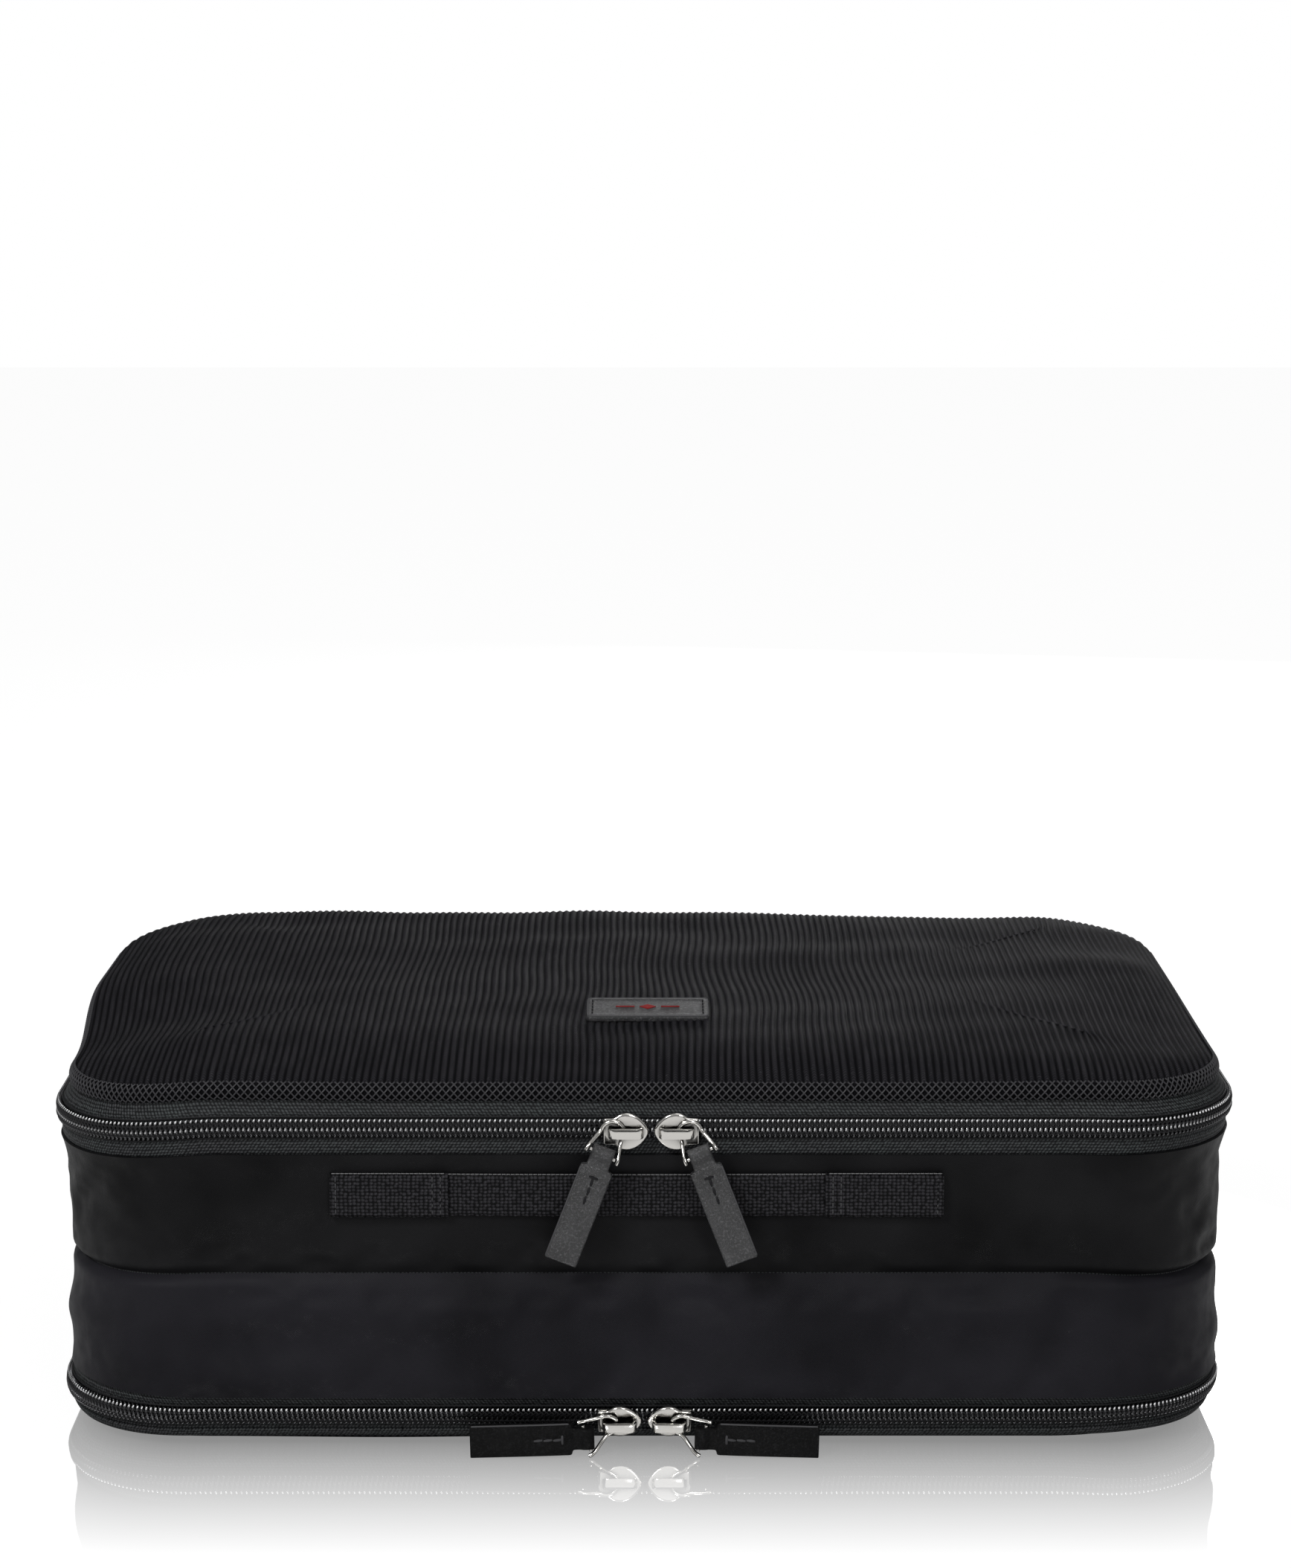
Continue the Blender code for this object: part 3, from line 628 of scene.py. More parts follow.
def build_walls():
    wall("wall_upper_front", UPPER, -ZIP_END, ZIP_END, 21, NYLON, "upper_front_wall")
    wall("wall_lower_front", LOWER, -ZIP_END, ZIP_END, 22, LIT_LOWER_NYLON, "lower_front_wall")
    wall("wall_upper_rear", UPPER_REAR, REAR_START, REAR_END, 23, NYLON, "upper_rear_wall", rear=True)
    wall("wall_lower_rear", LOWER_REAR, REAR_START, REAR_END, 24, LIT_LOWER_NYLON, "lower_rear_wall", rear=True)


# ---- Swept strips: tapes, bindings, bands ----
def strip(name, body, s, outer, inner, material, nodes=(), wrap=False):
    """A sheet between two grids of points that run along s."""
    run = np.concatenate([[0], np.cumsum(np.linalg.norm(np.diff(outer[0], axis=0), axis=1))])
    uv = np.stack(np.meshgrid(s / MM, run / MM, indexing="ij"), -1)
    return settle(shell(name, outer, inner, material, uv, wrap=wrap), body, *nodes)


def spaced(s0, s1, step):
    return np.linspace(s0, s1, int(round((s1 - s0) / step)) + 1)


def zip_halves(name, band):
    """The lid's half and the wall's half of a zip, with the body and the direction of each."""
    return ("lid", name + "_lid", band.lid_sign), ("wall", "bag", -band.lid_sign)


def build_zip(name, band, reaches):
    """Both tapes of a zip, its teeth and its end tabs. reaches is how far each tape goes, in millimetres."""
    end = ZIP_END - SEAM_GAP
    s = spaced(-end, end, 1.2 * MM)
    for (part, body, sign), reach in zip(zip_halves(name, band), reaches):
        tail = np.linspace(5.2, reach, 5)[1:]
        along = sign * np.array([0.55, 0.9, 2.0, 3.4, 4.3, 4.7, 5.2, *tail])
        outer = band.rows(s, [0.0, 0.12, 0.12, 0.2, 0.3, 0.5, 0.35, 0.5, 0.45, 0.3, 0.0], along)
        inner = band.rows(s, -0.75, along)
        strip(f"{name}_zip_tape_{part}", body, s, outer, inner, TAPE, [f"{name}_{part}_tape"])
    build_teeth(name, band)
    # A folded tab of tape covers each end of the zip, split between the lid and the wall.
    for side, where in SIDES:
        s = loop_s(side * (ZIP_END + np.linspace(-5.0, 5.0, 9) * MM))
        for part, body, sign in zip_halves(name, band):
            along = sign * np.array([0.35, 0.9, 2.5, 4.5, 6.0, 6.6])
            out = np.array([1.1, 1.9, 2.5, 2.3, 1.9, 1.3])
            outer, inner = band.rows(s, out, along), band.rows(s, out - 0.55, along)
            strip(f"{name}_zip_end_{part}_{where}", body, s, outer, inner, TAPE)


def build_teeth(name, band):
    """Two rows of coil turns that mesh at the middle, tied down by crossing threads."""
    pitch, end = 1.55 * MM, ZIP_END - 3 * MM
    tie_top = 2.0 if name == "top" else 1.82
    for part, body, sign in zip_halves(name, band):
        s = np.arange(-end, end, pitch) + (0 if sign > 0 else pitch / 2)
        far = 2.65 if sign > 0 else 2.0
        steps = np.array([far, far, far - 0.4, 1.1, 0.45, 0.0, -0.3]) * MM * sign
        out = np.array([0.4, 1.1, 1.5, 1.6, 1.65, 1.6, 1.2]) * MM
        lean = np.array([-0.1, 0, 0.2, 0.5, 0.8, 1.0, 1.05]) * 0.4 * MM * sign
        turns = tubes(f"{name}_coil_front_{part}", band.at(s[:, None] + lean, out, steps), 0.42 * MM, COIL, 6,
                      ref=(0.3, 0.2, 0.9))
        settle(turns, body, f"{name}_{part}_coil")
        under = band.rows(s + pitch / 2, [0.5, 0.45, 0.4], np.array([far, 1.5, 0.6]) * sign)
        settle(tubes(f"{name}_coil_back_{part}", under, 0.38 * MM, COIL, 5, ref=(0.3, 0.2, 0.9)), body)
        # The bright bends carry the painted highlight: on the far row of one half of each zip, and on the
        # middle row of the top zip.
        bends = [(far, 0.36, 1.5, 0.42, 0.42, PAINTED_GLINT if sign > 0 else COIL)]
        if sign > 0:
            bends.append((0.0, 0.5, 1.78, 0.2, 0.34, PAINTED_GLINT if name == "top" else COIL))
        t = np.array([-1.0, -0.35, 0.35, 1.0])
        for k, (row, tall, height, slant, size, material) in enumerate(bends):
            across = s[:, None] + t * slant * MM * 0.6
            bead = band.at(across, (height - 0.12 * t**2) * MM, (sign * row + t * tall) * MM)
            radius = np.array([0.7, 1.0, 1.0, 0.7]) * size * MM
            settle(tubes(f"{name}_coil_bend_{part}_{k}", bead, radius, material, 8, ref=(0, 1, 0.1)), body)
        low, high = 0.62, far - 0.62
        t = np.array([-0.5, 0.0, 0.5])
        for way, tag in ((-1, "a"), (1, "b")):
            along = sign * ((low + high) / 2 + t * (high - low)) * MM
            tie = band.at(s[:, None] + way * t * pitch, tie_top * MM - 0.5 * MM * t**2, along)
            ties = tubes(f"{name}_coil_tie_{part}_{tag}", tie, 0.22 * MM, DARK_THREAD, 5, ref=(0.1, 0.9, 0.1))
            settle(ties, body)
        run = spaced(-end, end, 0.5 * MM)
        ripple = 0.12 * MM * np.cos(2 * math.pi * run / pitch)
        cord = band.at(run, 0.4 * MM + ripple, sign * (far + 0.85) * MM)
        settle(tubes(f"{name}_coil_cord_{part}", cord, 0.3 * MM, DARK_THREAD, 6, ref=(0, 0.3, 0.9)), body)


def ring_s(step):
    """Arc lengths all the way round, starting from the middle of the rear."""
    count = int(round(2 * HALF_LENGTH / step))
    return -HALF_LENGTH + 2 * HALF_LENGTH * np.arange(count) / count


def rear_s():
    """Arc lengths along the rear, from the end of one zip to the end of the other."""
    return loop_s(spaced(REAR_START, REAR_END, 4 * MM))


# ---- Lids ----
def crown(x, y):
    """Height of the upper lid over its skirt: full at the back left, sloping to the front."""
    d = edge_distance(x, y)
    front = smooth((0.02 - y) / 0.09)
    reach = (34 + 30 * front) * MM
    t = np.clip(1 - d / reach, 0, 1)
    dome = 8.8 * MM * np.maximum(1 - t**2.4, 0) ** 0.62
    lift = 1.7 * MM * smooth((y + 0.02) / 0.09) * smooth((0.16 - x) / 0.2)
    slump = 0.9 * MM * np.exp(-(((np.abs(x) - 0.150) / 0.035) ** 2 + ((y - 0.085) / 0.04) ** 2))
    folds = (0.7 * waves(x, y, 31, 0.09) + 0.28 * waves(x, y, 32, 0.035)) * MM * smooth(d / (18 * MM))
    return dome + (lift - slump) * smooth(d / (20 * MM)) + folds


def lid_cloth(name, body, node, height, base, rows, half_w, half_d, under=False):
    """Ribbed knit over the whole lid: columns follow the ribs, rows crowd towards the front and back."""
    samples, thick = 6, 0.5 * MM
    columns = int(2 * half_w / RIB) * samples
    x = np.linspace(-1, 1, columns + 1) * half_w
    v = np.sin(np.linspace(-1, 1, rows + 1) * math.pi / 2)
    v = 0.55 * v + 0.45 * np.linspace(-1, 1, rows + 1)
    corner = CORNER - (HALF_W - half_w)
    over = np.maximum(np.abs(x) - (half_w - corner), 0)
    reach = half_d - corner + np.sqrt(np.maximum(corner**2 - over**2, 0))
    gx, gv = np.meshgrid(x, v, indexing="ij")
    gy = gv * reach[:, None]
    px = gx + 1.0 * MM * waves(gx, gy, 41, 0.08) * (1 - gv**2) * (1 - (gx / half_w) ** 2)
    on_outline = px * (HALF_W / half_w), gy * (HALF_D / half_d)
    z, d = height(*on_outline), edge_distance(*on_outline)
    rib = 0.48 * MM * (0.5 + 0.5 * np.cos(2 * math.pi * (gx / RIB))) * smooth(d / (1.5 * MM))
    rib = rib * (smooth((d - 4 * MM) / (8 * MM)) if under else 1)
    up = -1 if under else 1
    shrink_x, shrink_y = 1 - thick / half_w, 1 - thick / half_d
    outer = np.stack([px, gy, base + (z + rib) * up], -1)
    inner = np.stack([px * shrink_x, gy * shrink_y, base + (z - thick) * up], -1)
    obj = shell(name, soften(outer), soften(inner), MESH, np.stack([gx / MM, gy / MM], -1), flip=under)
    share = (1 - smooth((d - 1.4 * MM) / (0.8 * MM))) * smooth((-0.06 - gy) / 0.02) * (0 if under else 1)
    mark_net(obj, np.tile(share.ravel(), 2))
    return settle(obj, body, node)


def mark_net(obj, share):
    """Tells the knit's material how far each point is open net."""
    net = obj.data.attributes.new("net", "FLOAT", "POINT")
    net.data.foreach_set("value", np.asarray(share, np.float32))


def net_edge(name, body, points):
    """The open diamond net where the lid's cloth turns down to the zip."""
    profile, run = curve_points(points, 9)
    end = ZIP_END - 3 * MM
    start = spaced(-end, end, RIB)
    for way, where in SIDES:
        s = loop_s(start[:, None] + way * 0.5 * RIB * (2 * run / (1.15 * RIB)))
        bulge = 0.18 * MM * np.cos(np.pi * run / (0.575 * RIB) + (0 if way > 0 else math.pi))
        p = place(s, profile[:, 0] - 0.35 * MM - bulge * 0.5, profile[:, 1])
        settle(tubes(f"{name}_{where}", p, 0.23 * MM, NET, 5, ref=(0.2, 0.1, 0.95)), body)


def build_top_lid():
    inset = 0.3 * MM
    lid_cloth("top_lid_knit", "top_lid", "top_lid_mesh", crown, LID_Z, 110, HALF_W - inset, HALF_D - inset)
    s = ring_s(1.5 * MM)
    turn = [(1.1, 109.0), (0.5, 109.6), (0.2, 110.4), (0.15, 111.4), (0.3, 112.4), (0.6, 113.1)]
    edge, _ = curve_points(turn, 8)
    outer = place(s[:, None], edge[:, 0], edge[:, 1])
    inner = place(s[:, None], edge[:, 0] + 0.6 * MM, edge[:, 1] - 0.2 * MM)
    turned = strip("top_lid_turned_edge", "top_lid", s, outer, inner, MESH, wrap=True)
    mark_net(turned, [v.co.y < 0.062 for v in turned.data.vertices])
    net_edge("top_lid_net", "top_lid", [(0.9, 109.1), (0.35, 109.8), (0.1, 110.8), (0.1, 111.8), (0.6, 113.1),
                                        (1.3, 114.0), (1.9, 114.4)])
    along = [9.6, 10.2, 11.4, 12.0]
    outer, inner = TOP.rows(s, -2.4, along), TOP.rows(s, -1.3, along)
    strip("top_lid_seam_tape", "top_lid", s, outer, inner, TAPE, ["top_lid_binding"], wrap=True)
    edge, _ = curve_points([(0.3, 101.7), (0.2, 104), (0.2, 107), (0.5, 109.5)], 7)
    rear = rear_s()
    outer = place(rear[:, None], edge[:, 0], edge[:, 1])
    inner = place(rear[:, None], edge[:, 0] + 0.8 * MM, edge[:, 1])
    strip("top_lid_rear_cloth", "top_lid", rear, outer, inner, NYLON, ["top_lid_rear_band"])


def under_height(x, y):
    """How far the lower lid's cloth hangs below its edge."""
    d = edge_distance(x, y)
    reach = 18 - 7 * np.exp(-(((x + 0.085) / 0.04) ** 2))
    t = np.clip(1 - d / (reach * MM), 0, 1)
    ripple = 0.15 * MM * waves(x, y, 51, 0.06) * smooth(d / (15 * MM)) * (d < 14 * MM)
    return 3.6 * MM * np.sqrt(np.maximum(1 - t**2.2, 0)) + ripple


def build_bottom_lid():
    inset = 4.6 * MM + BOTTOM_INSET - 2.5 * MM
    lid_cloth("bottom_lid_knit", "bottom_lid", "bottom_lid_panel", under_height, 4.3 * MM, 60, HALF_W - inset,
              HALF_D - inset, under=True)
    s = ring_s(2 * MM)
    along = [-5.0, -5.6, -6.6, -7.6, -8.4]
    outer = BOTTOM.rows(s, [1.1, 1.3, 1.2, 0.8, -0.2], along)
    inner = BOTTOM.rows(s, [0.5, 0.6, 0.5, 0.1, -0.9], along)
    strip("bottom_lid_turned_edge", "bottom_lid", s, outer, inner, TAPE, wrap=True)
    along = [-7.4, -6.9, -6.4, -5.9]
    outer, inner = BOTTOM.rows(s, -2.6, along), BOTTOM.rows(s, -1.3, along)
    strip("bottom_lid_seam_tape", "bottom_lid", s, outer, inner, TAPE, ["bottom_lid_binding"], wrap=True)
    rear, along = rear_s(), [-5.1, -4.0, -2.0, -0.7]
    outer, inner = BOTTOM.rows(rear, 1.3, along), BOTTOM.rows(rear, 0.5, along)
    strip("bottom_lid_rear_cloth", "bottom_lid", rear, outer, inner, NYLON, ["bottom_lid_rear_band"])


def build_divider():
    """The cloth between the two compartments, with its edge binding."""
    s = ring_s(3 * MM)
    edge = place(s, 8.3 * MM, SEAM_Z, 0.0)[:, :2]
    rings = []
    for share in np.linspace(1, 0.04, 14):
        xy = edge * share
        z = SEAM_Z + 0.7 * MM * waves(xy[:, 0], xy[:, 1], 61, 0.08) * (1 - share) ** 0.5
        rings.append(np.concatenate([xy, z[:, None]], 1))
    p = np.array(rings).transpose(1, 0, 2)
    n, m = p.shape[:2]
    half_thick = [0, 0, 0.3 * MM]
    verts = np.concatenate([(p + half_thick).reshape(-1, 3), (p - half_thick).reshape(-1, 3)])
    faces = grid_faces(n, m, 0, True) + grid_faces(n, m, n * m, True, flip=True)
    faces.append([i * m + m - 1 for i in range(n)])
    faces.append([n * m + i * m + m - 1 for i in range(n)][::-1])
    for i in range(n):
        j = (i + 1) % n
        faces.append([i * m, j * m, n * m + j * m, n * m + i * m])
    uv = np.tile(p[..., :2].reshape(-1, 2) / MM, (2, 1))
    settle(add_mesh("divider_cloth", verts, faces, NYLON, uv), "bag", "divider_panel")
    high = np.array([1.45, 1.6, 1.6, 1.45]) * MM
    inset = np.array([5.4, 6.0, 7.2, 8.0]) * MM
    outer, inner = (place(s[:, None], inset, SEAM_Z + way * high, 0.0) for way in (1, -1))
    strip("divider_edge_binding", "bag", s, outer, inner, TAPE, ["divider_binding"], wrap=True)


def build_hinges():
    """Cloth strips inside the rear walls, where the lids hinge."""
    x = np.linspace(-FLAT_X + 4 * MM, FLAT_X - 4 * MM, 60)
    low = np.linspace(21, 6.4, 19)
    insets = np.interp(low, [6, 10, 14, 21], [7.9, 6.4, 5.4, 5.0])
    for name, heights, inset, z, up in (("top", np.linspace(91, 109, 19), 2.9, 100.9, 1),
                                        ("bottom", low, insets, 10.9, -1)):
        depths = HALF_D - inset * MM
        outer = np.stack(np.broadcast_arrays(x[:, None], depths, heights * MM), -1)
        uv = np.stack(np.broadcast_arrays(x[:, None] / MM, heights), -1)
        obj = shell(name + "_hinge_cloth", outer, outer - [0, 0.6 * MM, 0], TAPE, uv)
        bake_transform(obj)
        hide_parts(name + "_hinge_strip")


# ---- Handle ----
def webbing_strip(name, x0, x1, z0, z1, back_y, thick, seed, bow):
    """A flat strap on the front wall. bow is how far it stands off at each x."""
    x = np.linspace(x0, x1, max(8, int(abs(x1 - x0) / (1.2 * MM))))
    gx, gt = np.meshgrid(x, np.linspace(0, 1, 15), indexing="ij")
    selvedge = np.abs(gt - 0.5) > 0.49
    z = z0 + (z1 - z0) * gt + 0.16 * MM * np.sin(2 * math.pi * gx / (1.25 * MM * 3)) * selvedge
    soft = 0.18 * MM * waves(gx, z, seed, 0.03)
    round_edge = thick * 0.5 * (1 - np.sqrt(np.maximum(1 - (2 * gt - 1) ** 14, 0)))
    front = back_y - thick + round_edge - soft - bow(gx)
    back = back_y - round_edge - soft * 0.5 - bow(gx)
    outer = np.stack([gx, front, z], -1)
    inner = np.stack([gx, np.maximum(back, front + 0.15 * MM), z], -1)
    return shell(name, outer, inner, WEBBING, np.stack([gx / MM, gt * (z1 - z0) / MM], -1))


def stitches_along(name, p0, p1, pitch, share, radius, material, sag, ref=(0, 0, 1)):
    """Evenly spaced thread dashes from p0 to p1, standing out towards the front."""
    p0, p1, sag = Vector(p0), Vector(p1), Vector((0, sag, 0))
    count = max(1, int(round((p1 - p0).length / pitch)))
    paths = []
    for i in range(count):
        a, b = (p0.lerp(p1, (i + (1 + way * share) / 2) / count) for way in (-1, 1))
        paths.append([a + sag, (a + b) / 2, b + sag])
    settle(tubes(name, np.array(paths), radius, material, 6, ref=ref), "bag")


def build_handle():
    z0, z1 = 74.4 * MM, 87.3 * MM
    back = -HALF_D + 1.75 * MM
    middle, grip, reach = -2.3, 56.0, 91.0  # millimetres: the strap's middle, half the grip, half the strap

    def bow(x):
        return 0.5 * MM * np.cos(np.clip((x / MM - middle) / grip, -1, 1) * math.pi / 2)

    def bend(obj, side, slot):
        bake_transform(obj)

    for side, name in SIDES:
        x0, x1 = sorted((middle + 0.01 * side, middle + side * (grip - 0.1)))
        obj = webbing_strip(f"handle_webbing_{name}", x0 * MM, x1 * MM, z0, z1 - 0.3 * MM, back, 1.3 * MM, 71,
                            bow)
        bend(obj, side, "webbing")
        if side < 0:
            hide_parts("handle_grip")
        x0, x1 = sorted(((middle + side * grip) * MM, (middle + side * reach) * MM))
        end = webbing_strip(f"handle_end_{name}", x0, x1, z0 - 0.3 * MM, z1 + 0.2 * MM, back + 0.1 * MM,
                            2.5 * MM, 73 + side, lambda x: 0)
        settle(end, "bag", f"handle_tab_{name}")
        face = back - 2.55 * MM
        for k, x in enumerate((middle + side * np.array([reach - 1.7, grip + 4.6, grip + 2.2])) * MM):
            stitches_along(f"handle_stitch_{name}_{k}", (x, face, z0 + 0.6 * MM), (x, face, z1 - 0.4 * MM),
                           2.1 * MM, 0.72, 0.24 * MM, GREY_THREAD, 0.25 * MM, ref=(1, 0, 0))
        x0, x1 = ((middle + side * away) * MM for away in (grip + 1, reach - 0.5))
        y, z = back - 2.0 * MM, z1 + 0.35 * MM
        stitches_along(f"handle_edge_{name}", (x0, y, z), (x1, y, z), 1.3 * MM, 0.8, 0.17 * MM, LIGHT_THREAD,
                       0.1 * MM)
    # A light selvedge thread runs along the upper edge of the grip.
    for side, name in SIDES:
        x = (middle + side * np.linspace(0.8, grip - 0.6, 42)) * MM
        y, z = back - 1.0 * MM - bow(x), np.full(len(x), z1 - 0.1 * MM)
        paths = np.stack([np.stack([x + d * MM, y, z], -1) for d in (-0.5, 0, 0.5)], 1)
        bend(tubes(f"handle_selvedge_{name}", paths, 0.18 * MM, LIGHT_THREAD, 5), side, "nylon")


# ---- Label ----
def rounded_rectangle(w, h, r, steps=6):
    points = []
    for cx, cy, a0 in ((w - r, h - r, 0), (r - w, h - r, 90), (r - w, r - h, 180), (w - r, r - h, 270)):
        for k in range(steps + 1):
            a = math.radians(a0 + 90 * k / steps)
            points.append((cx + r * math.cos(a), cy + r * math.sin(a)))
    return np.array(points)


def stacked(name, outline_points, levels, material, to_world):
    """A cushion-like solid: each level is (shrink, height) in millimetres, shrinking towards the middle."""
    base = np.asarray(outline_points)
    size = np.abs(base).max(0)
    rings = []
    for shrink, height in levels:
        xy = base * np.maximum(1 - shrink * MM / size, 0.02)
        rings.append([to_world(x, y, height * MM) for x, y in xy])
    return add_mesh(name, np.array(rings), ring_faces(len(levels), len(base)), material)


def build_label():
    cx, cy = 1.0 * MM, -54 * MM
    front, back = (LID_Z + float(crown(np.array(cx), np.array(cy + d))) for d in (-8 * MM, 8 * MM))
    tilt = math.atan2(back - front, 16 * MM)
    centre = Vector((cx, cy, (front + back) / 2 + 1.0 * MM))
    turn = Matrix.Rotation(tilt + math.radians(6.5), 4, "X")

    def world(x, y, z):
        return centre + turn @ Vector((x, y, z))

    levels = [(0.5, 0.0), (0.05, 0.25), (0, 0.8), (0, 1.5), (0.25, 1.95), (0.7, 2.1), (1.6, 2.12),
              (1.9, 1.98), (3.5, 2.0), (7, 2.05)]
    patch = rounded_rectangle(19.0 * MM, 8.0 * MM, 1.6 * MM)
    settle(stacked("label_leather", patch, levels, LEATHER, world), "top_lid", "label_patch")
    # A grey tube round the patch's top edge: a painted highlight on its rim.
    rim = rounded_rectangle(18.7 * MM, 7.7 * MM, 1.4 * MM)
    rim = [world(x, y, 1.93 * MM) for x, y in [*rim, rim[0]]]
    settle(tubes("label_rim_highlight", np.array(rim), 0.22 * MM, EDGE_HIGHLIGHT, rounded=False), "top_lid")
    paths = []
    for x in (-17.2 * MM, 17.2 * MM):
        for y in [(-5.2 + 2.6 * k) * MM for k in range(5)]:
            steps = ((-0.85, 2.05), (0, 2.25), (0.85, 2.05))
            paths.append([world(x, y + step * MM, z * MM) for step, z in steps])
    settle(tubes("label_stitches", np.array(paths), 0.26 * MM, DARK_THREAD, ref=(1, 0, 0)), "top_lid")
    # A plain ornament: a small diamond between two fine lines.
    rhomb = np.array([(2.6, 0), (0, 2.0), (-2.6, 0), (0, -2.0)]) * MM
    settle(stacked("label_diamond", rhomb, [(0, 1.95), (0, 2.2), (0.5, 2.3)], RED_THREAD, world), "top_lid")
    lines = [[world(side * a * MM, 0, 2.12 * MM) for a in (4.2, 7.0, 9.8)] for side in (-1, 1)]
    settle(tubes("label_lines", np.array(lines), 0.28 * MM, RED_THREAD), "top_lid")


# ---- Sliders and pulls ----
LOOP_R, LOOP_REACH, OVERHANG, TIP_HALF = 3.4 * MM, 6.3 * MM, 1.0 * MM, 5.0 * MM
REST = {"top": (62, 7, 0, (3.6 * MM, 3.6 * MM)), "bottom": (20, -17, 8, (5.6 * MM, 1.6 * MM))}


def plate_outline():
    """Slider plate seen from the front, nose to the right (+x): a leaf with a square tail."""
    t = np.radians(np.linspace(-118, 118, 41))
    nose = 1 + 0.10 * np.cos(t) ** 8
    leaf = np.stack([0.5 + 5.55 * np.cos(t) * nose, 5.5 * np.sin(t) * (1 - 0.07 * np.cos(t))], -1)
    side = [(-3.1, 4.25), (-4.2, 3.95), (-6.2, 3.95), (-6.6, 3.6)]
    return np.concatenate([leaf, side, [(x, -y) for x, y in side[::-1]]]) * MM


def bevelled(obj, width):
    bevel = obj.modifiers.new("bevel", "BEVEL")
    bevel.width, bevel.segments = width, 2
    bevel.limit_method, bevel.angle_limit = "ANGLE", math.radians(30)
    made = bpy.data.meshes.new_from_object(obj.evaluated_get(bpy.context.evaluated_depsgraph_get()))
    obj.modifiers.clear()
    obj.data = made
    made.shade_smooth()
    made.set_sharp_from_angle(angle=math.radians(38))
    return obj


def slab(name, points, low, high, to_world, material, bevel):
    """A bevelled plate between the heights low and high. All sizes are in millimetres."""
    rings = [[to_world(x * MM, y * MM, w * MM) for x, y in points] for w in (low, high)]
    m = len(points)
    faces = [list(range(m))[::-1], [m + k for k in range(m)]]
    faces += [[k, (k + 1) % m, m + (k + 1) % m, m + k] for k in range(m)]
    return bevelled(add_mesh(name, np.array(rings), faces, material), bevel * MM)


def arm(share, side, rises):
    """A point on one arm of the wire loop, share of the way from the ring to the pin's end."""
    ease = share * share * (3 - 2 * share)
    rise = rises[0] if side < 0 else rises[1]
    across = LOOP_R + (TIP_HALF - LOOP_R) * ease
    return Vector((-(LOOP_REACH + OVERHANG) * share, rise * ease, side * across))


